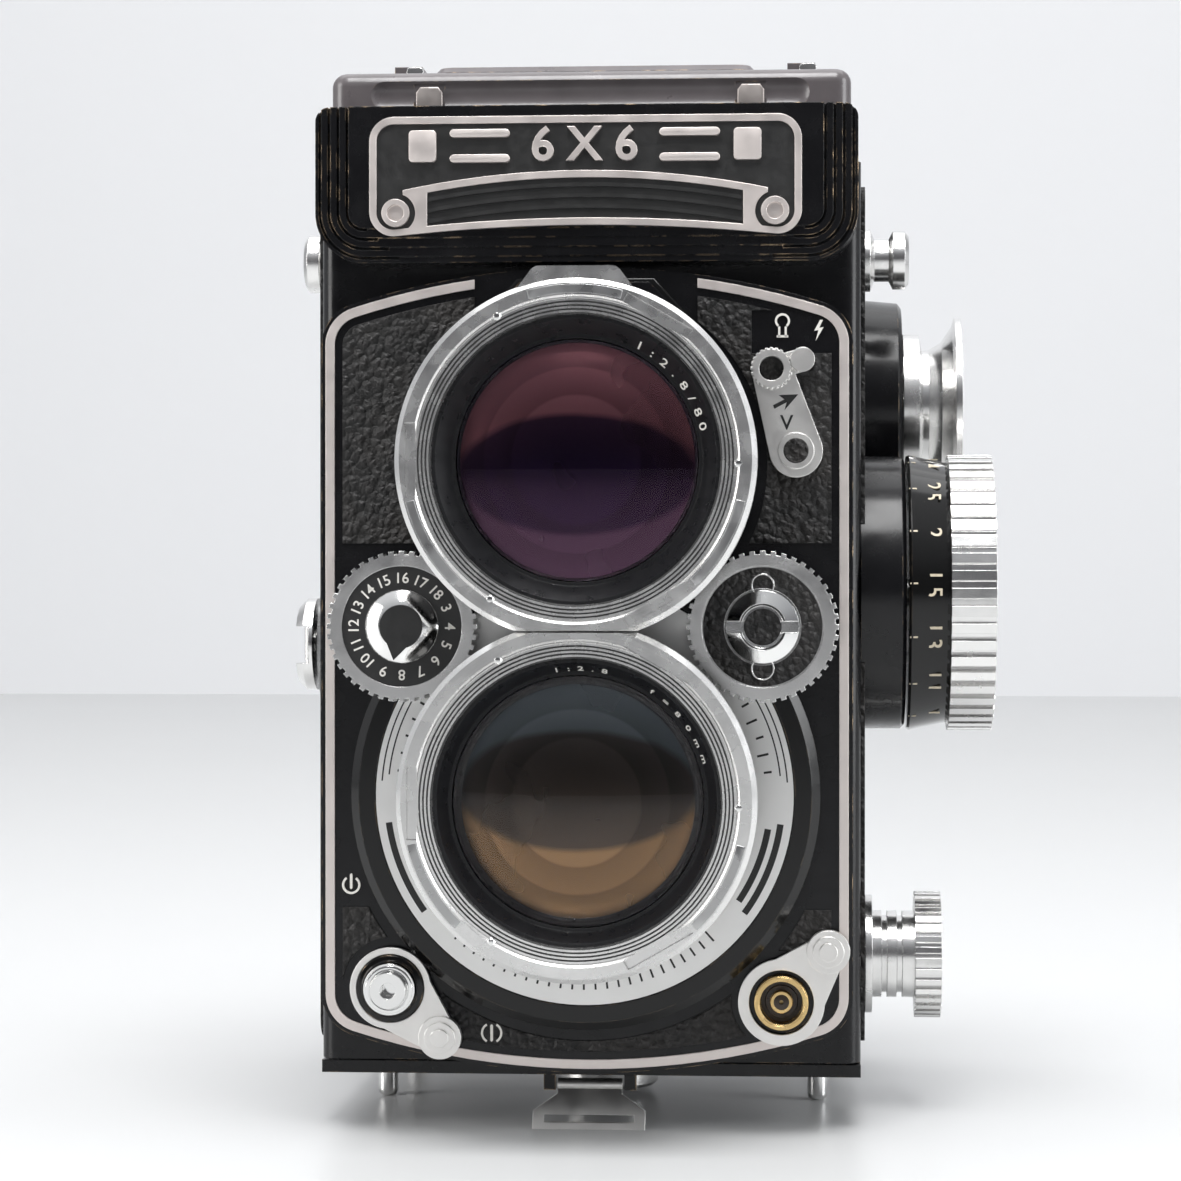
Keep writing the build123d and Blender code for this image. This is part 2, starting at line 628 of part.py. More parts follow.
def focus_racks():
    """Two toothed bars that carry the front panel."""
    pitch = GEAR_MODULE * pi
    pitch_line = FOCUS_Z - GEAR_MODULE * PINION_TEETH / 2
    root = pitch_line - 1.25 * GEAR_MODULE
    tip = pitch_line + 0.85 * GEAR_MODULE
    racks = []
    for side in (-1, 1):
        x0 = side * RACK_X - RACK_WIDTH / 2
        x1 = x0 + RACK_WIDTH
        racks.append(block(x0, x1, PANEL_BACK, RACK_BACK, root - 1.6, root))
        for i in range(-1, 8):
            y = FOCUS_Y + (i + 0.5) * pitch
            tooth = [(y - 0.3, root - 0.2), (y - 0.13, tip), (y + 0.13, tip), (y + 0.3, root - 0.2)]
            racks.append(profile_x(tooth, x0, x1))
    body = racks[0]
    for piece in racks[1:]:
        body += piece
    return body


def focus_base_ring():
    """Fixed hollow base of the focusing knob."""
    root = BODY_HALF_WIDTH
    end = FOCUS_BASE_END
    bore = FOCUS_SHAFT_RADIUS + 0.3
    radius = FOCUS_BASE_RADIUS
    return turned_x(FOCUS_Y, FOCUS_Z, [(root, radius), (end - 0.6, radius), (end, radius - 0.6), (end, bore),
                                       (end - 1.2, bore), (end - 1.2, radius - 1.6), (root, radius - 1.6)])


def focus_scale_ring():
    """Cone with the distance scale."""
    start = FOCUS_SCALE_START
    end = FOCUS_KNOB_START
    return turned_x(FOCUS_Y, FOCUS_Z, [(start, 2.0), (start, 20.0), (start + 0.4, FOCUS_KNOB_RADIUS),
                                       (end, 19.0), (end, 12.0), (start + 1.2, 12.0), (start + 1.2, 2.0)])


def focus_knob():
    """Fluted focusing knob with a dished end."""
    length = FOCUS_KNOB_END - FOCUS_KNOB_START
    outline = Pos(FOCUS_Y, FOCUS_Z) * toothed(FOCUS_KNOB_RADIUS, 0.8, FOCUS_FLUTES, 0.58)
    knob = extrude(Plane.YZ.offset(FOCUS_KNOB_START) * outline, amount=length)
    knob -= rod_x(FOCUS_Y, FOCUS_Z, FOCUS_KNOB_END - 1.0, FOCUS_KNOB_END + 1, 16.0)
    return knob


# ---- Wind crank ----

def crank_disc():
    """Slotted hub with the shaft and the arm's pivot pin."""
    back = -CRANK_BOSS_END - 0.2
    front = CRANK_DISC_FRONT
    hub = rod_x(CRANK_Y, CRANK_Z, front, back, CRANK_DISC_RADIUS)
    outer = [e for e in hub.edges() if abs(e.center().X - front) < 0.01]
    hub = chamfer(outer, 1.2)
    slot = CRANK_ARM_WIDTH / 2 + GAP
    hub -= block(front - 1, back - 0.6, CRANK_Y - 20, CRANK_Y + 20, CRANK_Z - slot, CRANK_Z + slot)
    hub += rod_x(CRANK_Y, CRANK_Z, back, -34.5, PIN_RADIUS)
    return hub + rod_z(CRANK_PIVOT_X, CRANK_Y, CRANK_Z - 5.0, CRANK_Z + 5.0, 0.5)


def crank_arm():
    """Folding arm with the handle's pin."""
    half = CRANK_ARM_THICKNESS / 2
    width = CRANK_ARM_WIDTH / 2
    tip = CRANK_Y + CRANK_ARM_LENGTH
    x0, x1 = CRANK_PIVOT_X - half, CRANK_PIVOT_X + half
    arm = block(x0, x1, CRANK_Y, tip, CRANK_Z - width, CRANK_Z + width)
    arm += rod_x(tip, CRANK_Z, x0, x1, width + 0.4)
    arm += rod_z(CRANK_PIVOT_X, CRANK_Y, CRANK_Z - width, CRANK_Z + width, half)
    arm -= rod_z(CRANK_PIVOT_X, CRANK_Y, CRANK_Z - 4, CRANK_Z + 4, 0.5 + 0.03)
    return arm + rod_x(tip, CRANK_Z, x1 - 0.5, CRANK_HANDLE_END - GAP, 1.0)


def crank_handle():
    """Turning grip on the arm's pin."""
    x1 = CRANK_PIVOT_X + CRANK_ARM_THICKNESS / 2 + 0.3
    return tube_x(CRANK_Y + CRANK_ARM_LENGTH, CRANK_Z, x1, CRANK_HANDLE_END, CRANK_HANDLE_RADIUS, 1.05)


# ---- Back and base ----

def back_cover():
    """L-shaped back: rear panel with a raised field, and the base plate with the latch's ears."""
    half = BODY_HALF_WIDTH
    cover = block(-half, half, COVER_INNER_Y, COVER_OUTER_Y, COVER_BOTTOM, COVER_TOP)
    cover += block(-half, half, COVER_FRONT, COVER_OUTER_Y, COVER_BOTTOM, COVER_BOTTOM + COVER_PLATE)
    cover += block(-BULGE_HALF_WIDTH, BULGE_HALF_WIDTH, COVER_OUTER_Y, BULGE_OUTER_Y, BULGE_BOTTOM, BULGE_TOP)
    room = BULGE_HALF_WIDTH - BULGE_WALL
    cover -= block(-room, room, COVER_INNER_Y - 1, BULGE_OUTER_Y - BULGE_WALL,
                   BULGE_BOTTOM + BULGE_WALL, BULGE_TOP - BULGE_WALL)
    for x0, x1 in ((-13.7, -4.3), (4.3, 13.7)):
        cover += rod_x(HINGE_Y, HINGE_Z, x0, x1, HINGE_KNUCKLE_RADIUS)
        cover += block(x0, x1, COVER_INNER_Y + 1.2, COVER_OUTER_Y, COVER_TOP - 0.5, HINGE_Z - 1.6)
    for x0 in (-6.6, 4.9):
        cover += block(x0, x0 + 1.7, LATCH_Y - 0.9, LATCH_Y + 0.9, LATCH_Z - 0.7, COVER_BOTTOM + 0.5)
    return cover - rod_x(HINGE_Y, HINGE_Z, -14, 14, HINGE_PIN_RADIUS + SHAFT_CLEARANCE)


def back_leather():
    """Leather on the rear panel, round and on the raised field."""
    y = COVER_OUTER_Y
    field = BULGE_OUTER_Y
    skin = block(-36.0, 36.0, y, y + LEATHER, 10.0, 118.0)
    skin -= block(-BULGE_HALF_WIDTH - 0.3, BULGE_HALF_WIDTH + 0.3, y - 1, y + 2,
                  BULGE_BOTTOM - 0.3, BULGE_TOP + 0.3)
    return skin + block(-27.5, 27.5, field, field + LEATHER, BULGE_BOTTOM + 2.5, BULGE_TOP - 2.5)


def back_hinge_pin():
    """Hinge pin of the back, held in the casting's knuckles."""
    return rod_x(HINGE_Y, HINGE_Z, -20.0, 20.0, HINGE_PIN_RADIUS)


def pressure_plate():
    """Flat plate that holds the film against the gate."""
    return block(-31, 31, FILM_PLANE_Y + 0.6, FILM_PLANE_Y + 1.8, 19.0, 76.0)


def pressure_springs():
    """Two bowed leaf springs behind the pressure plate."""
    front = FILM_PLANE_Y + 1.8
    back = BULGE_OUTER_Y - BULGE_WALL
    bow = [(front, 33.0), (back - 0.5, 44.0), (back - 0.5, 51.0), (front, 62.0), (front + 0.6, 62.0),
           (back, 51.4), (back, 43.6), (front + 0.6, 33.0)]
    return profile_x(bow, -21, -15) + profile_x(bow, 15, 21)


def tripod_socket():
    """Round boss with the blind tripod thread."""
    boss = rod_z(0, 0, 0.0, COVER_BOTTOM, TRIPOD_BOSS_RADIUS)
    rim = [e for e in boss.edges() if abs(e.center().Z) < 0.01]
    boss = chamfer(rim, 0.5)
    return boss - rod_z(0, 0, -1.0, TRIPOD_DEPTH, TRIPOD_BORE_RADIUS)


def feet():
    """Four small studs under the base plate."""
    studs = None
    for x in (-FOOT_X, FOOT_X):
        for y in (FOOT_FRONT_Y, FOOT_BACK_Y):
            stud = rod_z(x, y, GROUND_Z, COVER_BOTTOM, FOOT_RADIUS)
            tip = [e for e in stud.edges() if abs(e.center().Z - GROUND_Z) < 0.01]
            stud = fillet(tip, 0.9)
            studs = stud if studs is None else studs + stud
    return studs


def back_latch():
    """Fold-down latch plate with a finger slot and its hinge barrel."""
    half = LATCH_HALF_WIDTH
    y0, y1 = LATCH_Y, LATCH_TIP_Y
    plate = profile_x([(y0 + 0.5, LATCH_Z), (y0 - 0.5, LATCH_Z), (y1 - 0.5, GROUND_Z), (y1 + 0.6, GROUND_Z)],
                      -half, half)
    plate -= block(-6.4, 6.4, y1 - 2, y1 + 3, GROUND_Z + 0.9, GROUND_Z + 1.9)
    for side in (-1, 1):
        corner = Polygon((side * 9, 6.5), (side * 4.6, 6.5), (side * 4.6, 3.8), (side * 9, 0.9), align=None)
        plate -= front_plate(corner, y0 + 2, 5.0)
    return plate + rod_x(LATCH_Y, LATCH_Z, -4.6, 4.6, 0.9)


# ---- Front standard ----

def panel_outline(inset):
    """Front panel outline: straight sides, gently arched top and bottom."""
    half = PANEL_HALF_WIDTH - inset
    arc = PANEL_ARC - inset
    middle = (PANEL_TOP + PANEL_BOTTOM) / 2
    crown = (PANEL_TOP - PANEL_BOTTOM) / 2 - inset
    face = Pos(0, middle) * Rectangle(2 * half, 2 * crown)
    face &= Pos(0, middle + crown - arc) * Circle(arc)
    face &= Pos(0, middle - crown + arc) * Circle(arc)
    corners = [v for v in face.vertices() if abs(abs(v.X) - half) < 0.01]
    return fillet(corners, max(PANEL_CORNER - inset, 1.5))


def front_panel():
    """Focusing front plate with its skirt, the lens holes and the controls' bores."""
    panel = front_plate(panel_outline(0), PANEL_BACK, PANEL_BACK - PANEL_FRONT)
    rim = panel_outline(0) - panel_outline(SKIRT)
    panel += front_plate(rim, SKIRT_BACK, SKIRT_BACK - PANEL_BACK)
    y0, y1 = PANEL_FRONT - 3, PANEL_BACK + 1
    panel += rod_y(*RELEASE, PANEL_FRONT - 2.2, PANEL_FRONT, 4.7)
    panel += rod_y(*FLASH, PANEL_FRONT - 0.5, PANEL_FRONT, 4.4)
    panel += rod_y(*SYNC_PIVOT, PANEL_FRONT - 0.6, PANEL_FRONT, 2.6)
    window = Polygon((-15, 112.0), (15, 112.0), (9.0, 118.2), (-9.0, 118.2), align=None)
    panel += front_plate(window, PANEL_FRONT, 3.2)
    panel -= rod_y(0, VIEW_AXIS_Z, y0 - 3, y1, BARREL_RADIUS)
    panel -= rod_y(0, TAKE_AXIS_Z, y0, y1, SHUTTER_CAN_RADIUS)
    for side in (-1, 1):
        panel -= rod_y(side * WHEEL_X, WHEEL_Z, y0, y1, SPINDLE_RADIUS + SHAFT_CLEARANCE)
    panel -= rod_y(*RELEASE, y0 - 1, y1, RELEASE_BUTTON_RADIUS + 0.1)
    panel -= rod_y(*FLASH, y0, y1, FLASH_SLEEVE_RADIUS)
    panel -= rod_y(*SYNC_PIVOT, y0, y1, 1.0 + SHAFT_CLEARANCE)
    return panel


def front_trim():
    """Raised bright line round the panel, open at the top."""
    line = panel_outline(0.6) - panel_outline(1.9)
    line -= Pos(0, PANEL_TOP) * Rectangle(2 * TRIM_GAP, 20)
    return front_plate(line, PANEL_FRONT, 0.4)


def front_leathers():
    """Leather insets of the panel: two above, two below."""
    skin = panel_outline(3.0)
    skin -= Pos(0, VIEW_AXIS_Z) * Circle(FLANGE_RADIUS + 1.0)
    skin -= Pos(0, TAKE_AXIS_Z) * Circle(BEZEL_OUTER + 1.8)
    skin -= Pos(0, PANEL_TOP) * Rectangle(2 * TRIM_GAP, 40)
    skin -= Pos(0, (LEATHER_LOW + LEATHER_HIGH) / 2) * Rectangle(90, LEATHER_HIGH - LEATHER_LOW)
    for x, z in (RELEASE, FLASH):
        skin -= Pos(x, z) * Circle(7.0)
    skin -= Pos(*SYNC_PIVOT) * Circle(2.8)
    skin -= Pos(29.6, 111.4) * Rectangle(13.0, 6.0)
    pieces = [front_plate(face, PANEL_FRONT, 0.3) for face in skin.faces() if face.area > LEATHER_LEAST_AREA]
    return Compound(pieces)


def light_trap():
    """Two baffle tubes behind the panel that reach into the casting."""
    traps = tube_y(0, VIEW_AXIS_Z, PANEL_BACK, LIGHT_TRAP_BACK, VIEW_TRAP_RADIUS, VIEW_TRAP_RADIUS - 1)
    traps += tube_y(0, TAKE_AXIS_Z, PANEL_BACK + 1.0, LIGHT_TRAP_BACK, TAKE_TRAP_RADIUS, TAKE_TRAP_RADIUS - 1)
    flange = tube_y(0, VIEW_AXIS_Z, PANEL_BACK, PANEL_BACK + 1.0, BARREL_RADIUS, VIEW_TRAP_RADIUS - 1)
    return traps + flange


def cut_flat(ring, axis_z, y0, y1, upper):
    """Cut the flat where the two bayonet rings face each other."""
    if upper:
        return ring - block(-30, 30, y0 - 1, y1 + 1, axis_z - 30, axis_z - FLANGE_FLAT)
    return ring - block(-30, 30, y0 - 1, y1 + 1, axis_z + FLANGE_FLAT, axis_z + 30)


def bayonet_ring(axis_z, front, upper):
    """Flanged bayonet ring: chamfered rim, a raised inner lip and three lug slots."""
    back = front + FLANGE_THICKNESS
    inner = BARREL_BORE
    outer = FLANGE_RADIUS
    profile = [(inner, back), (outer, back), (outer, front + 0.9), (outer - 0.7, front), (22.0, front),
               (21.6, front + 0.5)]
    for step in range(BAYONET_GROOVES):
        crest = 21.5 - BAYONET_GROOVE_PITCH * step
        profile += [(crest, front + 0.35), (crest - 0.28, front + 0.35), (crest - 0.33, front + 0.75),
                    (crest - 0.48, front + 0.75)]
    profile.append((inner, front + 0.6))
    ring = turned_y(0, axis_z, profile)
    for i in range(3):
        spin = Pos(0, 0, axis_z) * Rot(0, 60 + 120 * i, 0)
        ring -= spin * block(21.4, 22.8, front - 1, front + 0.8, -5.0, 5.0)
    ring = cut_flat(ring, axis_z, front, back, upper)
    if upper:
        tab = Polygon((-9.0, axis_z + outer - 3.0), (9.0, axis_z + outer - 3.0),
                      (5.6, axis_z + outer + 1.6), (-5.6, axis_z + outer + 1.6), align=None)
        tab = fillet([v for v in tab.vertices() if v.Y > axis_z + outer], 1.5)
        ring += front_plate(tab - Pos(0, axis_z) * Circle(22.0), back, FLANGE_THICKNESS - 0.8)
    return ring


def name_ring(axis_z, front, glass):
    """Black cone round the front element, inside the bayonet ring."""
    wall = BARREL_BORE
    return turned_y(0, axis_z, [(wall, front + 1.4), (wall - 0.5, front + 1.4), (glass + 0.5, front + 4.0),
                                (glass, front + 4.0), (glass, front + 9.0), (wall, front + 9.0)])


def viewing_barrel():
    """Barrel of the viewing lens, fixed in the panel."""
    return tube_y(0, VIEW_AXIS_Z, VIEW_RING_FRONT + FLANGE_THICKNESS, PANEL_BACK, BARREL_RADIUS, BARREL_BORE)


def viewing_elements():
    """Front and rear glasses of the viewing lens."""
    front = VIEW_RING_FRONT + 5.6
    glass = dome_y(0, VIEW_AXIS_Z, VIEW_GLASS_RADIUS, front + 3.4, front)
    glass += rod_y(0, VIEW_AXIS_Z, front + 3.4, front + 7.0, VIEW_GLASS_RADIUS)
    rear = rod_y(0, VIEW_AXIS_Z, PANEL_BACK - 4.0, PANEL_BACK - 1.0, BARREL_BORE)
    return glass + rear


def taking_elements():
    """Front and rear glasses of the taking lens."""
    front = TAKE_RING_FRONT + 4.6
    glass = dome_y(0, TAKE_AXIS_Z, TAKE_GLASS_RADIUS, front + 3.0, front)
    glass += rod_y(0, TAKE_AXIS_Z, front + 3.0, front + 6.0, TAKE_GLASS_RADIUS)
    rear = rod_y(0, TAKE_AXIS_Z, PANEL_BACK + 2.0, PANEL_BACK + 6.0, TAKE_TRAP_RADIUS - 1)
    return glass + rear


def shutter_housing():
    """Shutter can with the black bezel, the cover face and the lens barrel."""
    back = PANEL_BACK + 1.0
    can = SHUTTER_CAN_RADIUS
    housing = turned_y(0, TAKE_AXIS_Z, [(BARREL_BORE, TAKE_RING_FRONT + FLANGE_THICKNESS),
                                        (BARREL_RADIUS, TAKE_RING_FRONT + FLANGE_THICKNESS),
                                        (BARREL_RADIUS, SHUTTER_FACE_Y), (BEZEL_INNER, SHUTTER_FACE_Y),
                                        (BEZEL_INNER, BEZEL_FRONT),
                                        (BEZEL_OUTER - 1.2, BEZEL_FRONT), (BEZEL_OUTER, BEZEL_FRONT + 1.2),
                                        (BEZEL_OUTER, PANEL_FRONT), (can, PANEL_FRONT), (can, back),
                                        (TAKE_TRAP_RADIUS, back), (TAKE_TRAP_RADIUS, back - 1.0),
                                        (can - SHUTTER_WALL, back - 1.0),
                                        (can - SHUTTER_WALL, SHUTTER_FLOOR_Y),
                                        (BARREL_BORE, SHUTTER_FLOOR_Y)])
    for side in (-1, 1):
        housing -= rod_y(side * WHEEL_X, WHEEL_Z, BEZEL_FRONT - 1, PANEL_FRONT, SPINDLE_RADIUS + 0.3)
    return housing - rod_y(0, VIEW_AXIS_Z, TAKE_RING_FRONT, LIGHT_TRAP_BACK, BARREL_RADIUS + 0.1)


def shutter_cover_ring():
    """Flat bright ring on the shutter's face."""
    ring = tube_y(0, TAKE_AXIS_Z, COVER_RING_FRONT, SHUTTER_FACE_Y, COVER_RING_OUTER, COVER_RING_INNER)
    return ring - rod_y(0, VIEW_AXIS_Z, COVER_RING_FRONT - 1, SHUTTER_FACE_Y + 1, BARREL_RADIUS + 0.1)


def blade_set(count, outer, inner, y_front, thickness):
    """Thin blades that share a circle, a small gap between neighbours."""
    ring = Circle(outer) if inner == 0 else Circle(outer) - Circle(inner)
    cuts = [Rot(0, 0, 360 * i / count) * (Pos(outer / 2 + 1, inner / 2) * Rectangle(outer + 2, 0.15))
            for i in range(count)]
    return Pos(0, 0, TAKE_AXIS_Z) * front_plate(ring - cuts, y_front + thickness, thickness)


def shutter_blades():
    """Five closed shutter blades."""
    return blade_set(5, BLADE_RADIUS, 0, -42.0, 0.3)


def aperture_blades():
    """Five diaphragm blades round the opening."""
    return blade_set(5, BLADE_RADIUS, 9.0, -43.2, 0.3)


def wheel(x):
    """Knurled setting wheel with a dial recess and its spindle."""
    outline = Pos(x, WHEEL_Z) * toothed(WHEEL_RADIUS, 0.45, WHEEL_TEETH, 0.5)
    disc = front_plate(outline, WHEEL_BACK, WHEEL_BACK - WHEEL_FRONT)
    disc -= rod_y(x, WHEEL_Z, WHEEL_FRONT - 1, WHEEL_FRONT + 1.2, DIAL_RADIUS)
    return disc + rod_y(x, WHEEL_Z, WHEEL_BACK, -39.6, SPINDLE_RADIUS)


def speed_dial():
    """Numbered dial with its conical hub and pointer button."""
    base = WHEEL_FRONT + 1.2
    front = WHEEL_FRONT
    dial = turned_y(-WHEEL_X, WHEEL_Z, [(0, base), (DIAL_RADIUS, base), (DIAL_RADIUS, front + 0.2),
                                        (HUB_RADIUS, front + 0.2), (HUB_RADIUS - 0.3, front - 0.3),
                                        (HUB_CENTRE_RADIUS, front - 1.0), (0, front - 1.0)])
    pointer = Polygon((-1.4, -2.6), (1.4, -2.6), (0, -4.7), align=None)
    button = Circle(HUB_CENTRE_RADIUS) + Rot(0, 0, -12) * pointer
    return dial + front_plate(Pos(-WHEEL_X, WHEEL_Z) * button, WHEEL_FRONT - 0.9, 0.5)


def aperture_wheel():
    """Right wheel with the fixed rim of its dial."""
    rim = wheel(WHEEL_X)
    base = WHEEL_FRONT + 1.2
    rim += tube_y(WHEEL_X, WHEEL_Z, WHEEL_FRONT + 0.2, base, DIAL_RADIUS, HUB_RADIUS + 0.2)
    return rim - rod_y(WHEEL_X, WHEEL_Z, WHEEL_FRONT - 2, WHEEL_FRONT + 2.4, HUB_RADIUS + 0.2)


def aperture_hub():
    """Push button in the right wheel, with a cross slot."""
    front = WHEEL_FRONT
    hub = turned_y(WHEEL_X, WHEEL_Z, [(0, front + 1.4), (HUB_RADIUS, front + 1.4), (HUB_RADIUS, front - 0.1),
                                      (HUB_CENTRE_RADIUS + 0.3, front - 0.9),
                                      (HUB_CENTRE_RADIUS, front - 0.5), (0, front - 0.5)])
    slot = 0.8
    for side in (-1, 1):
        x = WHEEL_X + side * (HUB_RADIUS + HUB_CENTRE_RADIUS) / 2
        hub -= block(x - 1.5, x + 1.5, WHEEL_FRONT - 2, WHEEL_FRONT + 0.1, WHEEL_Z - slot, WHEEL_Z + slot)
    return hub


def lever_outline(points_and_radii):
    """Flat lever outline: circles joined by straight arms."""
    face = None
    for (x, z), radius in points_and_radii:
        disc = Pos(x, z) * Circle(radius)
        face = disc if face is None else face + disc
    for ((x0, z0), r0), ((x1, z1), r1) in zip(points_and_radii, points_and_radii[1:]):
        length = sqrt((x1 - x0) ** 2 + (z1 - z0) ** 2)
        nx, nz = (z1 - z0) / length, -(x1 - x0) / length
        arm = Polygon((x0 + nx * r0, z0 + nz * r0), (x1 + nx * r1, z1 + nz * r1),
                      (x1 - nx * r1, z1 - nz * r1), (x0 - nx * r0, z0 - nz * r0), align=None)
        face += arm
    return face


def sync_lever():
    """Sync selector: slotted lever with a ring end, a ball tab and its pivot."""
    face = lever_outline([(SYNC_PIVOT, 3.7), (SYNC_RING, 2.8)])
    face += lever_outline([(SYNC_RING, 1.6), (SYNC_BALL, 1.6)])
    face -= Pos(*SYNC_RING) * Circle(1.7)
    lever = front_plate(face, LEVER_BACK, LEVER_BACK - LEVER_FRONT)
    ring = toothed(2.9, 0.25, 24, 0.5) - Circle(1.7)
    lever += front_plate(Pos(*SYNC_RING) * ring, LEVER_FRONT, 0.6)
    lever += rod_y(*SYNC_BALL, LEVER_FRONT - 0.9, LEVER_FRONT, 1.7)
    lever += tube_y(*SYNC_PIVOT, LEVER_FRONT - 0.4, LEVER_FRONT, 2.5, 1.4)
    return lever + rod_y(*SYNC_PIVOT, LEVER_BACK, -40.0, 1.0)


def tabbed_ring(centre, tab, outer, inner):
    """Ring lever round a control, with a stepped round tab."""
    face = lever_outline([(centre, outer), (tab, TAB_RADIUS - 0.4)]) - Pos(*centre) * Circle(inner)
    lever = front_plate(face, LEVER_BACK, LEVER_BACK - LEVER_FRONT)
    for radius, rise in ((TAB_RADIUS, 0.5), (TAB_RADIUS * 0.72, 0.9), (TAB_RADIUS * 0.42, 1.3)):
        lever += rod_y(*tab, LEVER_FRONT - rise, LEVER_BACK, radius)
    return lever


def release_button():
    """Shutter release with the threaded cable socket."""
    tube_front = RELEASE_BUTTON_FRONT - 1.6
    button = rod_y(*RELEASE, RELEASE_BUTTON_FRONT, -42.2, RELEASE_BUTTON_RADIUS)
    button += rod_y(*RELEASE, tube_front, RELEASE_BUTTON_FRONT, 2.5)
    return button - rod_y(*RELEASE, tube_front - 1, tube_front + CABLE_THREAD_DEPTH, CABLE_THREAD_RADIUS)


def flash_socket():
    """Flash contact: brass sleeve with an insulated centre pin."""
    back = PANEL_BACK
    sleeve = tube_y(*FLASH, -45.6, back, FLASH_SLEEVE_RADIUS, 3.0)
    sleeve += rod_y(*FLASH, -42.4, back, 3.0)
    return sleeve + rod_y(*FLASH, -44.6, -42.4, 1.5) - rod_y(*FLASH, -46.0, -43.6, 0.6)


# ---- Hood ----

def hood_lid():
    """Hood lid: thin shell with a raised panel, a front channel and the magnifier's ears."""
    half = HOOD_HALF_WIDTH
    skirt_top = LID_TOP - LID_STEP
    lid = block(-half, half, BODY_FRONT, HOOD_BACK, LID_BOTTOM, skirt_top)
    lid = fillet(lid.edges().filter_by(Axis.Z), HOOD_CORNER)
    top = [e for e in lid.edges() if abs(e.center().Z - skirt_top) < 0.01]
    lid = fillet(top, 2.0)
    field = block(-LID_FIELD_HALF, LID_FIELD_HALF, LID_FIELD_FRONT, LID_FIELD_BACK, skirt_top - 1.5, LID_TOP)
    lid += chamfer(fillet(field.edges().filter_by(Axis.Z), 3.0).faces().sort_by(Axis.Z)[-1].edges(), 0.8)
    lid -= rod_x(LID_CHANNEL_Y, LID_CHANNEL_Z, -LID_CHANNEL_HALF, LID_CHANNEL_HALF, LID_CHANNEL_RADIUS)
    for side in (-1, 1):
        lid -= Pos(side * LID_CHANNEL_HALF, LID_CHANNEL_Y, LID_CHANNEL_Z) * Sphere(LID_CHANNEL_RADIUS)
    t = LID_SHELL
    lid -= block(-LID_FIELD_HALF + t, LID_FIELD_HALF - t, LID_FIELD_FRONT + t, LID_FIELD_BACK - t,
                 LID_BOTTOM - 1, LID_TOP - t - 0.4)
    lid -= block(-half + t, half - t, BODY_FRONT + t + 0.8, HOOD_BACK - t, LID_BOTTOM - 1, skirt_top - t)
    for side in (-1, 1):
        x = side * KNUCKLE_X
        lid -= block(x - 2.2, x + 2.2, BODY_FRONT - 1, BODY_FRONT + 0.6, LID_BOTTOM - 1, LID_BOTTOM + 4.2)
        stud = side * LID_STUD_X
        lid += block(stud - 2.1, stud + 2.1, -4.0, 2.0, skirt_top - 0.5, LID_STUD_TOP)
        x0 = side * 12.0
        ear = block(x0 - 1.0, x0 + 1.0, MAGNIFIER_HINGE_Y - 0.9, MAGNIFIER_HINGE_Y + 0.9,
                    MAGNIFIER_Z - 0.9, LID_TOP - 0.5)
        lid += ear
    return lid + rod_x(MAGNIFIER_HINGE_Y, MAGNIFIER_Z, -13.0, 13.0, 0.45)


def side_leaf(side):
    """Side flap of the hood, folded flat, with mitred ends."""
    y0 = -LEAF_SPAN + MITRE_CLEARANCE
    y1 = REAR_LEAF_HINGE_Y - 0.5
    h = LEAF_HEIGHT
    x0 = side * SIDE_LEAF_HINGE_X
    outline = Polygon((x0, y0), (x0, y1), (x0 - side * h, y1 - h), (x0 - side * h, y0 + h), align=None)
    base = Plane.XY.offset(SIDE_LEAF_Z - LEAF_THICKNESS / 2)
    leaf = extrude(base * outline, amount=LEAF_THICKNESS, dir=(0, 0, 1))
    return leaf + Pos(x0, (y0 + y1) / 2, SIDE_LEAF_Z) * Rot(90, 0, 0) * Cylinder(LEAF_HINGE_RADIUS, y1 - y0)


def hood_rear_leaf():
    """Rear flap of the hood, folded forward over the side flaps."""
    y1 = REAR_LEAF_HINGE_Y
    half = LEAF_SPAN
    far_half = half - 0.6 * LEAF_HEIGHT
    far_y = y1 - LEAF_HEIGHT
    outline = Polygon((-half, y1), (-far_half, far_y), (far_half, far_y), (half, y1), align=None)
    leaf = extrude(Plane.XY.offset(REAR_LEAF_Z - LEAF_THICKNESS / 2) * outline, amount=LEAF_THICKNESS)
    return leaf + rod_x(y1, REAR_LEAF_Z, -half, half, LEAF_HINGE_RADIUS)


def magnifier_frame():
    """Carrier of the focusing magnifier, hinged to the lid."""
    thick = 1.4
    lens_y = MAGNIFIER_LENS_Y
    face = Pos(0, lens_y) * Circle(MAGNIFIER_RADIUS)
    face += Pos(0, (lens_y + MAGNIFIER_HINGE_Y) / 2 + 0.2) * Rectangle(20.0, lens_y - MAGNIFIER_HINGE_Y)
    face -= Pos(0, lens_y) * Circle(MAGNIFIER_LENS_RADIUS)
    face -= Pos(0, -1.5) * Rectangle(12.0, 9.0)
    frame = extrude(Plane.XY.offset(MAGNIFIER_Z - thick / 2) * face, amount=thick)
    return frame - rod_x(MAGNIFIER_HINGE_Y, MAGNIFIER_Z, -14, 14, 0.5)


def magnifier_lens():
    """Magnifier glass in its carrier."""
    return rod_z(0, MAGNIFIER_LENS_Y, MAGNIFIER_Z - 0.9, MAGNIFIER_Z + 0.9, MAGNIFIER_LENS_RADIUS)


# ---- All pieces, by node name ----

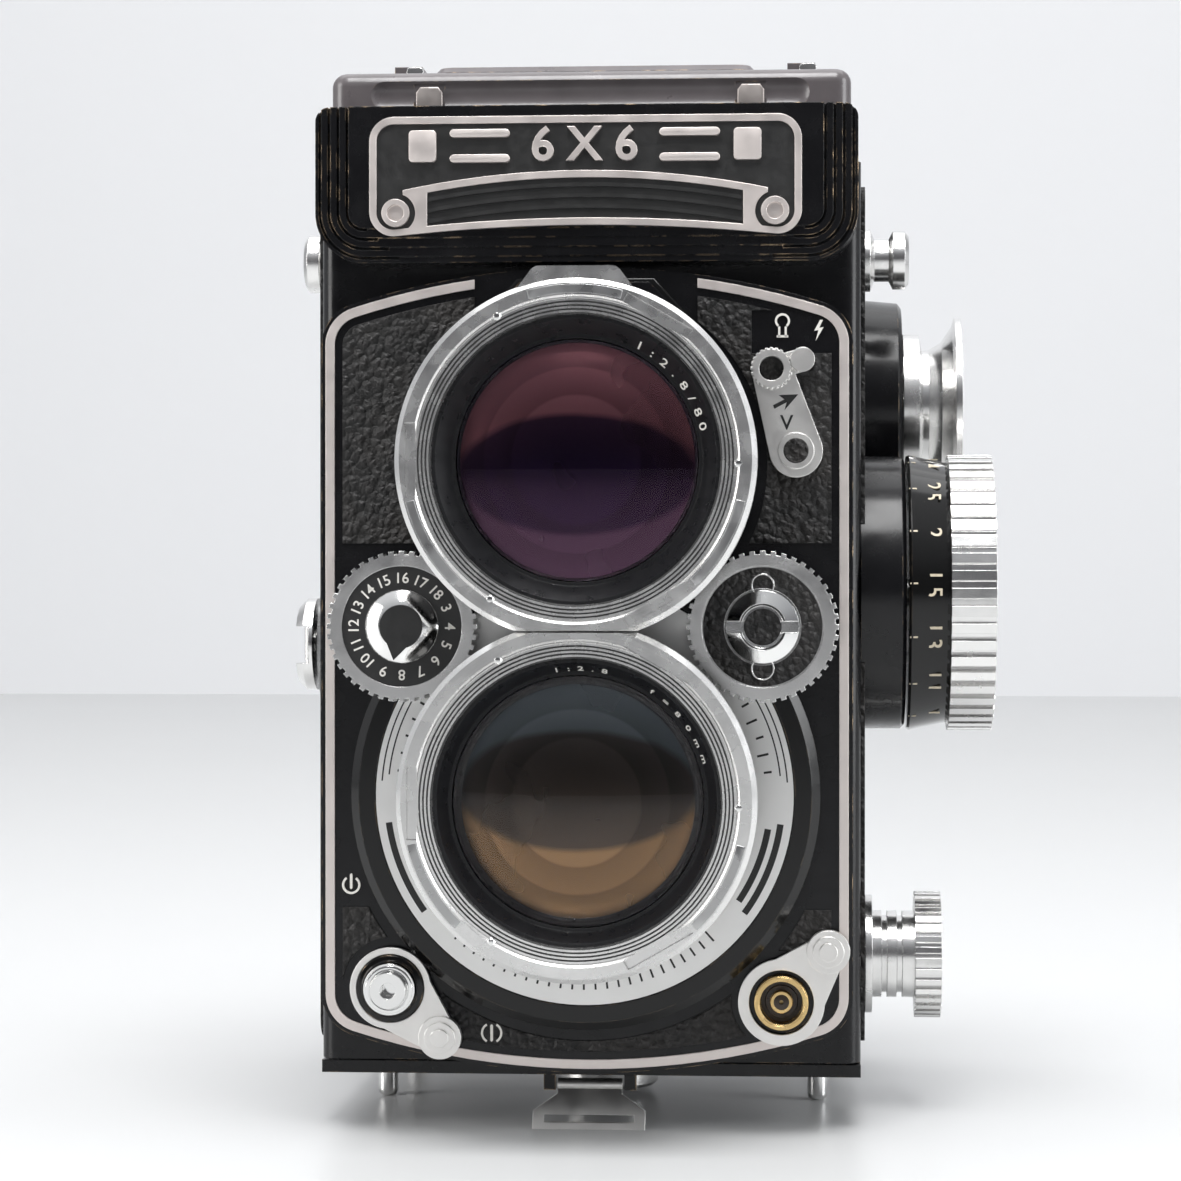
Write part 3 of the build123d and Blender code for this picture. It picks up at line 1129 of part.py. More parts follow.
PIECES = {
    "body_casting": body_casting(),
    "side_leathers": side_leathers(),
    "strap_lugs": strap_lugs(),
    "viewing_mirror": viewing_mirror(),
    "focusing_screen": focusing_screen(),
    "hood_frame": hood_frame(),
    "brow_housing": brow_housing(),
    "nameplate_trim": nameplate_trim(),
    "nameplate_panel": nameplate_panel(),
    "roller_upper": film_roller(ROLLER_UPPER_Z),
    "roller_lower": film_roller(ROLLER_LOWER_Z),
    "takeup_spool": takeup_spool(),
    "spool_knob_upper": spool_knob_upper(),
    "spool_knob_lower": spool_knob_lower(),
    "focus_shaft": focus_shaft(),
    "focus_racks": focus_racks(),
    "knob_base_rings": focus_base_ring() + spool_knob_base(),
    "focus_scale_ring": focus_scale_ring(),
    "focus_knob": focus_knob(),
    "crank_disc": crank_disc(),
    "crank_arm": crank_arm(),
    "crank_handle": crank_handle(),
    "back_cover": back_cover(),
    "back_leather": back_leather(),
    "back_hinge_pin": back_hinge_pin(),
    "pressure_plate": pressure_plate(),
    "pressure_springs": pressure_springs(),
    "tripod_socket": tripod_socket(),
    "feet": feet(),
    "back_latch": back_latch(),
    "front_panel": front_panel(),
    "front_trim": front_trim(),
    "front_leathers": front_leathers(),
    "light_trap": light_trap(),
    "viewing_barrel": viewing_barrel(),
    "viewing_bayonet": bayonet_ring(VIEW_AXIS_Z, VIEW_RING_FRONT, True),
    "viewing_name_ring": name_ring(VIEW_AXIS_Z, VIEW_RING_FRONT, VIEW_GLASS_RADIUS),
    "viewing_elements": viewing_elements(),
    "shutter_housing": shutter_housing(),
    "shutter_cover_ring": shutter_cover_ring(),
    "shutter_blades": shutter_blades(),
    "aperture_blades": aperture_blades(),
    "taking_bayonet": bayonet_ring(TAKE_AXIS_Z, TAKE_RING_FRONT, False),
    "taking_name_ring": name_ring(TAKE_AXIS_Z, TAKE_RING_FRONT, TAKE_GLASS_RADIUS),
    "taking_elements": taking_elements(),
    "speed_wheel": wheel(-WHEEL_X),
    "speed_dial": speed_dial(),
    "aperture_wheel": aperture_wheel(),
    "aperture_hub": aperture_hub(),
    "sync_lever": sync_lever(),
    "release_button": release_button(),
    "release_guard": tabbed_ring(RELEASE, RELEASE_TAB, 5.7, 4.8),
    "flash_socket": flash_socket(),
    "flash_lock_lever": tabbed_ring(FLASH, FLASH_TAB, 6.0, 4.5),
    "hood_lid": hood_lid(),
    "hood_rear_leaf": hood_rear_leaf(),
    "hood_left_leaf": side_leaf(-1),
    "hood_right_leaf": side_leaf(1),
    "magnifier_frame": magnifier_frame(),
    "magnifier_lens": magnifier_lens(),
}

os.makedirs("parts", exist_ok=True)
for node, shape in PIECES.items():
    export_step(shape, f"parts/{node}.step")
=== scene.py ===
"""Looks of the twin lens reflex camera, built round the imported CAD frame. Metres."""
import json
from math import atan, cos, radians, sin, sqrt

import bmesh
import bpy
from mathutils import Matrix, Vector
from mathutils.bvhtree import BVHTree


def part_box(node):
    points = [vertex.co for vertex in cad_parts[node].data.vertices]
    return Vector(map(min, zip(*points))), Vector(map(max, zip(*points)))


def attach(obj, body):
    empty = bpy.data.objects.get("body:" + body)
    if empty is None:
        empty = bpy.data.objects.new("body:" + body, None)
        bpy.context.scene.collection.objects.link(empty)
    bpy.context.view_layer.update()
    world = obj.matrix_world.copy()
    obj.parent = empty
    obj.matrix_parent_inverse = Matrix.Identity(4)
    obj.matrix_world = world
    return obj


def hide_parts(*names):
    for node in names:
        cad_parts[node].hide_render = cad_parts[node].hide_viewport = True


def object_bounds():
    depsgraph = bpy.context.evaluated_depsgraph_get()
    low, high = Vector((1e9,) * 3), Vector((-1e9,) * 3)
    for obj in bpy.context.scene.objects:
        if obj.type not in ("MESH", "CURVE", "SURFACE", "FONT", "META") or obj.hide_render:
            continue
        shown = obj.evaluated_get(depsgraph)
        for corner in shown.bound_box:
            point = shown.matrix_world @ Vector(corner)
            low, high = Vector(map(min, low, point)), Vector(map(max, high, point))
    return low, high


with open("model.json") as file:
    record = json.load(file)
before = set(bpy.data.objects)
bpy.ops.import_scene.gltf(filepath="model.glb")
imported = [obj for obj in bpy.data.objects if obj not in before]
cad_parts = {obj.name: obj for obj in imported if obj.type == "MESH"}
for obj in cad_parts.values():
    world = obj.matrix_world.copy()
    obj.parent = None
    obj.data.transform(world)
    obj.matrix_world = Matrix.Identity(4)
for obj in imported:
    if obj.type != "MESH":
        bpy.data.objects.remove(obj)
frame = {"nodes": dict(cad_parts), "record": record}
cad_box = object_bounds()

MM = 0.001
NODES = frame["nodes"]


def centre(node):
    """Middle of a CAD node's box."""
    low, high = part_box(node)
    return tuple((a + b) / 2 for a, b in zip(low, high))


# Places taken from the frame.
VIEW_C = centre("viewing_name_ring")
TAKE_C = centre("taking_name_ring")
VIEW_X, VIEW_Z = VIEW_C[0], VIEW_C[2]
TAKE_X, TAKE_Z = TAKE_C[0], TAKE_C[2]
VIEW_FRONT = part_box("viewing_bayonet")[0][1]
TAKE_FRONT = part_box("taking_bayonet")[0][1]
LEFT_WHEEL = centre("speed_wheel")
RIGHT_WHEEL = centre("aperture_wheel")
DIAL_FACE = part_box("speed_wheel")[0][1]
KNOB = centre("focus_knob")
SCALE_LOW, SCALE_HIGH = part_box("focus_scale_ring")


# ---- Material helpers ----

class Shader:
    """Small wrapper round one node material."""

    def __init__(self, name):
        self.material = bpy.data.materials.new(name)
        self.material.use_nodes = True
        self.tree = self.material.node_tree
        self.surface = self.tree.nodes["Principled BSDF"]

    def node(self, kind, **settings):
        made = self.tree.nodes.new("ShaderNode" + kind)
        for key, value in settings.items():
            setattr(made, key, value)
        return made

    def put(self, source, target):
        self.tree.links.new(source, target)

    def set(self, **values):
        for key, value in values.items():
            self.surface.inputs[key.replace("_", " ")].default_value = value

    def coordinates(self):
        return self.node("TexCoord").outputs["Object"]

    def noise(self, scale, detail=4.0, vector=None, roughness=0.55):
        made = self.node("TexNoise")
        made.inputs["Scale"].default_value = scale
        made.inputs["Detail"].default_value = detail
        made.inputs["Roughness"].default_value = roughness
        self.put(vector or self.coordinates(), made.inputs["Vector"])
        return made.outputs["Fac"]

    def ramp(self, fac, stops):
        made = self.node("ValToRGB")
        elements = made.color_ramp.elements
        while len(elements) < len(stops):
            elements.new(0.5)
        for element, (place, colour) in zip(elements, stops):
            element.position = place
            element.color = (*colour, 1.0) if len(colour) == 3 else colour
        self.put(fac, made.inputs["Fac"])
        return made.outputs["Color"]

    def math(self, operation, a, b=None, clamp=False):
        made = self.node("Math", operation=operation, use_clamp=clamp)
        for socket, value in zip(made.inputs, (a, b)):
            if value is None:
                continue
            if isinstance(value, (int, float)):
                socket.default_value = value
            else:
                self.put(value, socket)
        return made.outputs[0]

    def mix(self, fac, a, b):
        made = self.node("Mix", data_type="RGBA")
        if isinstance(fac, (int, float)):
            made.inputs["Factor"].default_value = fac
        else:
            self.put(fac, made.inputs["Factor"])
        for socket, value in ((made.inputs["A"], a), (made.inputs["B"], b)):
            if isinstance(value, tuple):
                socket.default_value = (*value, 1.0)
            else:
                self.put(value, socket)
        return made.outputs["Result"]

    def rounded(self, radius):
        made = self.node("Bevel")
        made.samples = 4
        made.inputs["Radius"].default_value = radius
        return made.outputs["Normal"]

    def bump(self, height, distance, strength=1.0, normal=None):
        made = self.node("Bump")
        made.inputs["Strength"].default_value = strength
        made.inputs["Distance"].default_value = distance
        self.put(height, made.inputs["Height"])
        if normal is not None:
            self.put(normal, made.inputs["Normal"])
        return made.outputs["Normal"]

    def edge_mask(self, radius, width):
        """1 on convex and concave edges, 0 on flats."""
        flat = self.node("NewGeometry").outputs["Normal"]
        dot = self.node("VectorMath", operation="DOT_PRODUCT")
        self.put(flat, dot.inputs[0])
        self.put(self.rounded(radius), dot.inputs[1])
        return self.math("MULTIPLY", self.math("SUBTRACT", 1.0, dot.outputs["Value"]), width, clamp=True)

    def radius_about_y(self, x, z):
        """Distance from an axis along Y through (x, z)."""
        split = self.node("SeparateXYZ")
        self.put(self.coordinates(), split.inputs[0])
        dx = self.math("SUBTRACT", split.outputs["X"], x)
        dz = self.math("SUBTRACT", split.outputs["Z"], z)
        squares = self.math("ADD", self.math("MULTIPLY", dx, dx), self.math("MULTIPLY", dz, dz))
        return self.math("SQRT", squares)

    def finish(self, colour=None, roughness=None, normal=None):
        for value, name in ((colour, "Base Color"), (roughness, "Roughness"), (normal, "Normal")):
            if value is not None:
                self.put(value, self.surface.inputs[name])
        return self.material


def roughness_range(shader, scale, low, high, vector=None):
    fac = shader.noise(scale, 3.0, vector)
    return shader.ramp(fac, [(0.3, (low,) * 3), (0.75, (high,) * 3)])


def lacquer(name, tone, low, high, wear, grain=0.00002, coat=0.15, ior=1.33):
    """Black enamel: fine orange peel, dust specks and brassy worn edges."""
    s = Shader(name)
    s.set(Coat_Weight=coat, Coat_Roughness=0.12, IOR=ior)
    speckle = s.ramp(s.noise(2600, 2.0), [(0.0, (0, 0, 0)), (0.74, (0, 0, 0)), (0.8, (0.05, 0.045, 0.04)),
                                         (1.0, (0.07, 0.06, 0.05))])
    base = s.mix(s.noise(160), tone, tuple(2.2 * c for c in tone))
    layered = s.node("Mix", data_type="RGBA", blend_type="ADD")
    layered.inputs["Factor"].default_value = 0.5
    s.put(base, layered.inputs["A"])
    s.put(speckle, layered.inputs["B"])
    patches = s.ramp(s.noise(420, 5.0), [(0.0, (0, 0, 0)), (0.5, (0, 0, 0)), (0.62, (1, 1, 1)),
                                         (1.0, (1, 1, 1))])
    mask = s.math("MULTIPLY", s.edge_mask(0.00025, 4.0 * wear), patches, clamp=True)
    colour = s.mix(mask, layered.outputs["Result"], (0.42, 0.31, 0.2))
    s.put(mask, s.surface.inputs["Metallic"])
    normal = s.bump(s.noise(1900, 3.0), grain, 0.5, s.rounded(0.00022))
    return s.finish(colour, roughness_range(s, 240, low, high), normal)


def leather(name):
    """Black pebble-grain leather, with painted shade: the gaps between the pebbles are darker and the pebble
    tops lighter.
    """
    s = Shader(name)
    s.set(IOR=1.36)
    warp = s.node("VectorMath", operation="ADD")
    wobble = s.node("TexNoise")
    wobble.inputs["Scale"].default_value = 700.0
    s.put(s.coordinates(), wobble.inputs["Vector"])
    scaled = s.node("VectorMath", operation="SCALE")
    scaled.inputs["Scale"].default_value = 0.0012
    s.put(wobble.outputs["Color"], scaled.inputs[0])
    s.put(s.coordinates(), warp.inputs[0])
    s.put(scaled.outputs["Vector"], warp.inputs[1])
    cells = s.node("TexVoronoi", feature="SMOOTH_F1")
    cells.inputs["Scale"].default_value = 1050.0
    cells.inputs["Smoothness"].default_value = 0.35
    s.put(warp.outputs["Vector"], cells.inputs["Vector"])
    fine = s.noise(3600, 4.0)
    pebbles = s.math("MULTIPLY", cells.outputs["Distance"], -1.0)
    height = s.math("ADD", pebbles, s.math("MULTIPLY", fine, 0.25))
    # Painted shade: darker in the gaps between the pebbles, lighter on their tops.
    colour = s.ramp(cells.outputs["Distance"], [(0.15, (0.022, 0.021, 0.021)), (0.75, (0.006, 0.006, 0.006))])
    rubbed = s.ramp(s.noise(90, 3.0), [(0.45, (0, 0, 0)), (0.8, (0.6, 0.6, 0.6))])
    faded = s.mix(rubbed, colour, (0.035, 0.031, 0.028))
    return s.finish(faded, roughness_range(s, 300, 0.34, 0.56),
                    s.bump(height, 0.00045, 1.0, s.rounded(0.0002)))


METAL_GRAIN = 0.000006
METAL_EDGE = 0.00015


def metal(name, tone, low, high, brush=None, marks=0.35):
    """Plated metal with fine marks. brush is an axis (x, z) along Y for turned rings."""
    s = Shader(name)
    s.set(Metallic=1.0)
    dark = tuple(c * (1.0 - marks) for c in tone)
    dirt = s.ramp(s.noise(520, 6.0, roughness=0.7), [(0.36, (1, 1, 1)), (0.5, (0.15, 0.15, 0.15)),
                                                     (0.9, (0, 0, 0))])
    grime = s.math("MULTIPLY", s.math("ADD", s.edge_mask(0.0003, 0.9), 0.04), dirt, clamp=True)
    colour = s.mix(grime, tone, dark)
    if brush:
        combine = s.node("CombineXYZ")
        s.put(s.radius_about_y(*brush), combine.inputs["X"])
        normal = s.bump(s.noise(3500, 1.0, combine.outputs["Vector"]), METAL_GRAIN, 0.35)
    else:
        normal = s.bump(s.noise(5200, 3.0), METAL_GRAIN, 0.4, s.rounded(METAL_EDGE))
    rough = roughness_range(s, 300, low, high)
    return s.finish(colour, rough, normal)


def turned_black(name, axis, tone=(0.008, 0.008, 0.009)):
    """Satin black ring with fine turning lines."""
    s = Shader(name)
    s.set(IOR=1.35)
    combine = s.node("CombineXYZ")
    s.put(s.radius_about_y(*axis), combine.inputs["X"])
    lines = s.noise(9000, 1.0, combine.outputs["Vector"])
    dust = s.ramp(s.noise(3000, 2.0), [(0.0, (0, 0, 0)), (0.72, (0, 0, 0)), (0.8, (0.8, 0.8, 0.8))])
    colour = s.mix(s.math("MULTIPLY", dust, 0.1), tone, (0.3, 0.28, 0.25))
    return s.finish(colour, roughness_range(s, 500, 0.24, 0.4),
                    s.bump(lines, 0.00002, 0.5, s.rounded(0.0001)))


def plain_black(name, roughness=0.6, tone=(0.012, 0.012, 0.012)):
    """Matt black interior paint."""
    s = Shader(name)
    colour = s.mix(s.noise(800), tone, tuple(1.8 * c for c in tone))
    return s.finish(colour, roughness_range(s, 600, roughness - 0.1, roughness + 0.1),
                    s.bump(s.noise(2500), 0.00003, 0.4))


def paint(name, tone, roughness=0.45):
    """Filled engraving paint."""
    s = Shader(name)
    colour = s.mix(s.noise(3000), tone, tuple(0.75 * c for c in tone))
    return s.finish(colour, roughness_range(s, 900, roughness - 0.1, roughness + 0.1))


LACQUER = lacquer("body_lacquer", (0.003, 0.003, 0.0035), 0.16, 0.34, 0.9)
LACQUER_WORN = lacquer("worn_lacquer", (0.06, 0.053, 0.055), 0.26, 0.42, 1.6, 0.00002, 0.3, 1.5)
GLOSS = lacquer("bezel_gloss", (0.002, 0.002, 0.002), 0.06, 0.14, 0.25, 0.000005, 0.3)
LEATHER = leather("pebble_leather")
CHROME = metal("satin_chrome", (0.78, 0.775, 0.765), 0.16, 0.3)
BRIGHT = metal("bright_chrome", (0.82, 0.82, 0.81), 0.06, 0.16, marks=0.25)
PALE = metal("pale_silver", (0.86, 0.845, 0.82), 0.3, 0.44, marks=0.2)
FROSTED = metal("frosted_silver", (0.75, 0.69, 0.66), 0.42, 0.55, marks=0.2)
WORN_STEEL = metal("worn_knuckle", (0.45, 0.41, 0.39), 0.35, 0.55, marks=0.7)
STEEL = metal("ground_steel", (0.5, 0.5, 0.5), 0.25, 0.4)
BRASS = metal("worn_brass", (0.72, 0.52, 0.24), 0.2, 0.38, marks=0.5)
RING_TONE = (0.8, 0.795, 0.785)
VIEW_RING = metal("viewing_ring_chrome", RING_TONE, 0.2, 0.34, brush=(VIEW_X, VIEW_Z), marks=0.2)
TAKE_RING = metal("taking_ring_chrome", RING_TONE, 0.2, 0.34, brush=(TAKE_X, TAKE_Z), marks=0.2)
COVER_RING = metal("cover_ring_silver", (0.83, 0.825, 0.81), 0.3, 0.45, brush=(TAKE_X, TAKE_Z), marks=0.25)
VIEW_BLACK = turned_black("viewing_name_black", (VIEW_X, VIEW_Z))
TAKE_BLACK = turned_black("taking_name_black", (TAKE_X, TAKE_Z))
MATT = plain_black("matt_black")
DIAL_BLACK = plain_black("dial_black", 0.45, (0.01, 0.01, 0.01))
# Dark metal for the groove bottoms: painted shadow in the grooves.
GROOVE_SHADOW = metal("groove_painted_shadow", (0.1, 0.1, 0.1), 0.4, 0.6, marks=0.5)
INSULATION = plain_black("dark_insulation", 0.35, (0.02, 0.013, 0.008))
WHITE = paint("white_fill", (0.82, 0.8, 0.75))
CREAM = paint("cream_fill", (0.75, 0.66, 0.5))
INK = paint("black_fill", (0.01, 0.01, 0.01))


def clear_glass(name, tint, roughness=0.02):
    s = Shader(name)
    s.set(Transmission_Weight=1.0, IOR=1.5)
    colour = s.mix(s.noise(60), tint, tuple(0.96 * c for c in tint))
    return s.finish(colour, roughness_range(s, 300, roughness, roughness + 0.02))


CLEAR = clear_glass("clear_glass", (0.95, 0.97, 0.96))
GROUND = clear_glass("ground_glass", (0.9, 0.9, 0.88), 0.35)


def mirror_glass():
    s = Shader("silvered_mirror")
    s.set(Metallic=1.0)
    silver = s.mix(s.noise(40), (0.9, 0.9, 0.9), (0.84, 0.85, 0.84))
    return s.finish(silver, roughness_range(s, 200, 0.02, 0.05))


MIRROR = mirror_glass()

FINISHES = {
    LACQUER: ("body_casting", "hood_frame", "back_cover", "front_panel", "hood_rear_leaf", "hood_left_leaf",
              "hood_right_leaf", "knob_base_rings", "brow_housing"),
    LACQUER_WORN: ("hood_lid", "magnifier_frame"),
    GLOSS: ("shutter_housing", "focus_scale_ring", "crank_handle", "takeup_spool"),
    LEATHER: ("side_leathers", "back_leather", "front_leathers"),
    CHROME: ("speed_wheel", "aperture_wheel", "focus_knob", "spool_knob_upper", "spool_knob_lower",
             "strap_lugs", "crank_disc", "crank_arm", "back_hinge_pin", "tripod_socket"),
    FROSTED: ("nameplate_trim", "front_trim"),
    BRIGHT: ("release_button", "aperture_hub", "feet"),
    PALE: ("sync_lever", "release_guard", "flash_lock_lever", "back_latch"),
    STEEL: ("focus_shaft", "focus_racks", "roller_upper", "roller_lower", "pressure_springs",
            "shutter_blades", "aperture_blades"),
    BRASS: ("flash_socket",),
    VIEW_RING: ("viewing_bayonet",),
    TAKE_RING: ("taking_bayonet",),
    COVER_RING: ("shutter_cover_ring",),
    VIEW_BLACK: ("viewing_name_ring", "viewing_barrel"),
    TAKE_BLACK: ("taking_name_ring",),
    MATT: ("light_trap", "pressure_plate"),
    DIAL_BLACK: ("speed_dial", "nameplate_panel"),
    CLEAR: ("magnifier_lens", "viewing_elements", "taking_elements"),
    GROUND: ("focusing_screen",),
    MIRROR: ("viewing_mirror",),
}
for material, names in FINISHES.items():
    for name in names:
        NODES[name].data.materials.clear()
        NODES[name].data.materials.append(material)


# ---- Camera, floor and light ----

CAMERA_PLACE = (0.0323, -0.4968, 0.0778)
CAMERA_TURN = (89.70, 0.0, 3.99)
CAMERA_LENS = 99.3
CAMERA_SENSOR = 36.0


def build_camera():
    """Camera at the height of the lenses, a little to the focusing knob's side."""
    data = bpy.data.cameras.new("view")
    data.sensor_width = CAMERA_SENSOR
    data.lens = CAMERA_LENS
    camera = bpy.data.objects.new("view", data)
    camera.location = CAMERA_PLACE
    camera.rotation_euler = [radians(turn) for turn in CAMERA_TURN]
    bpy.context.collection.objects.link(camera)
    bpy.context.scene.camera = camera


def grid_plane(name, corners, material):
    mesh = bpy.data.meshes.new(name)
    mesh.from_pydata(corners, [], [(0, 1, 2, 3)])
    made = bpy.data.objects.new(name, mesh)
    made.data.materials.append(material)
    bpy.context.collection.objects.link(made)


def stage():
    """Pale glossy table and a pale backdrop wall."""
    s = Shader("pale_table")
    s.set(Specular_IOR_Level=0.35)
    colour = s.mix(s.noise(3.0), (0.575, 0.58, 0.58), (0.56, 0.565, 0.565))
    table = s.finish(colour, roughness_range(s, 1.5, 0.3, 0.34))
    ground = cad_box[0][2]
    near, far, wide, high = -3.0, 1.6, 4.0, 3.0
    grid_plane("floor", [(-wide, near, ground), (wide, near, ground), (wide, far, ground),
                         (-wide, far, ground)], table)
    wall = Shader("pale_wall")
    wall.set(Roughness=0.9)
    shade = wall.finish(wall.mix(wall.noise(1.0), (0.86, 0.865, 0.875), (0.84, 0.845, 0.86)))
    grid_plane("wall", [(-wide, far, ground), (wide, far, ground), (wide, far, high),
                        (-wide, far, high)], shade)


def area_light(name, place, target, size, power, colour=(1, 1, 1), size_y=None):
    data = bpy.data.lights.new(name, "AREA")
    data.shape = "RECTANGLE"
    data.size = size
    data.size_y = size_y or size
    data.energy = power
    data.color = colour
    light = bpy.data.objects.new(name, data)
    light.location = place
    aim = Vector(target) - Vector(place)
    light.rotation_euler = aim.to_track_quat("-Z", "Y").to_euler()
    bpy.context.collection.objects.link(light)


def lights():
    """Bright room behind and above, darker in front, with a soft box above and one at each side."""
    world = bpy.data.worlds.new("room")
    bpy.context.scene.world = world
    world.use_nodes = True
    tree = world.node_tree
    background = tree.nodes["Background"]
    background.inputs["Strength"].default_value = 1.0
    way = tree.nodes.new("ShaderNodeTexCoord")
    split = tree.nodes.new("ShaderNodeSeparateXYZ")
    lean = tree.nodes.new("ShaderNodeMath")
    lean.operation = "MULTIPLY_ADD"
    lean.inputs[1].default_value = 0.45
    height = tree.nodes.new("ShaderNodeMath")
    height.operation = "MULTIPLY_ADD"
    height.inputs[1].default_value = 0.45
    height.inputs[2].default_value = 0.45
    ramp = tree.nodes.new("ShaderNodeValToRGB")
    stops = ((0.0, (0.1, 0.1, 0.105)), (0.16, (0.16, 0.16, 0.17)), (0.34, (0.4, 0.41, 0.43)),
             (0.6, (0.7, 0.71, 0.73)), (1.0, (0.9, 0.91, 0.94)))
    elements = ramp.color_ramp.elements
    while len(elements) < len(stops):
        elements.new(0.5)
    for element, (place, colour) in zip(elements, stops):
        element.position = place
        element.color = (*colour, 1.0)
    tree.links.new(way.outputs["Generated"], split.inputs[0])
    tree.links.new(split.outputs["Z"], height.inputs[0])
    tree.links.new(split.outputs["Y"], lean.inputs[0])
    tree.links.new(height.outputs[0], lean.inputs[2])
    tree.links.new(lean.outputs[0], ramp.inputs["Fac"])
    tree.links.new(ramp.outputs["Color"], background.inputs["Color"])
    middle = (0, 0, 0.07)
    area_light("top", (0.05, -0.35, 0.9), middle, 0.5, 9)
    for name, place, colour in (("left", (-1.0, -0.45, 0.35), (1.0, 0.985, 0.97)),
                                ("right", (1.1, -0.3, 0.35), (0.97, 0.985, 1.0))):
        area_light(name, place, middle, 0.5, 7, colour, 0.8)
    area_light("wall_wash", (0, 0.9, 1.6), (0, 1.6, 0.3), 1.8, 14)
    bpy.context.scene.view_settings.view_transform = "Standard"


build_camera()
stage()
lights()

# ---- Detail pieces, in millimetres until they are done ----

BODY_OF = {node: body for body, nodes in frame["record"]["behaviour"]["bodies"].items() for node in nodes}
FACING = Matrix.Rotation(radians(90), 4, "X")
TREES = {}


def surface(node, start, towards):
    """Where a ray from start first meets a CAD node."""
    if node not in TREES:
        shape = bmesh.new()
        shape.from_mesh(NODES[node].data)
        TREES[node] = BVHTree.FromBMesh(shape)
        shape.free()
    for shift in (0.0, 0.01, -0.03, 0.1):
        aside = Vector((shift, shift, 0.7 * shift))
        hit = TREES[node].ray_cast((Vector(start) + aside) * MM, Vector(towards))[0]
        if hit is not None:
            return hit / MM
    raise ValueError(f"the ray from {tuple(start)} misses {node}")


def face_y(node, x, z):
    """Front face of a CAD node at (x, z)."""
    return surface(node, (x, -200.0, z), (0, 1, 0)).y


def around(centre, radius, degrees):
    """Point on a circle in the front view, clockwise from the top."""
    angle = radians(degrees)
    return centre[0] + radius * sin(angle), centre[1] + radius * cos(angle)


def arc_outline(centre, inner, outer, first, last, steps=24):
    """Outline of a curved bar between two radii."""
    angles = [first + (last - first) * i / steps for i in range(steps + 1)]
    return [around(centre, outer, a) for a in angles] + [around(centre, inner, a) for a in reversed(angles)]


def rounded_bar(x, z, half_width, half_height, corner, steps=6):
    """Outline of a rounded rectangle."""
    points = []
    for sx, sz, start in ((1, 1, 0), (1, -1, 90), (-1, -1, 180), (-1, 1, 270)):
        middle = (x + sx * (half_width - corner), z + sz * (half_height - corner))
        points += [around(middle, corner, start + 90 * i / steps) for i in range(steps + 1)]
    return points


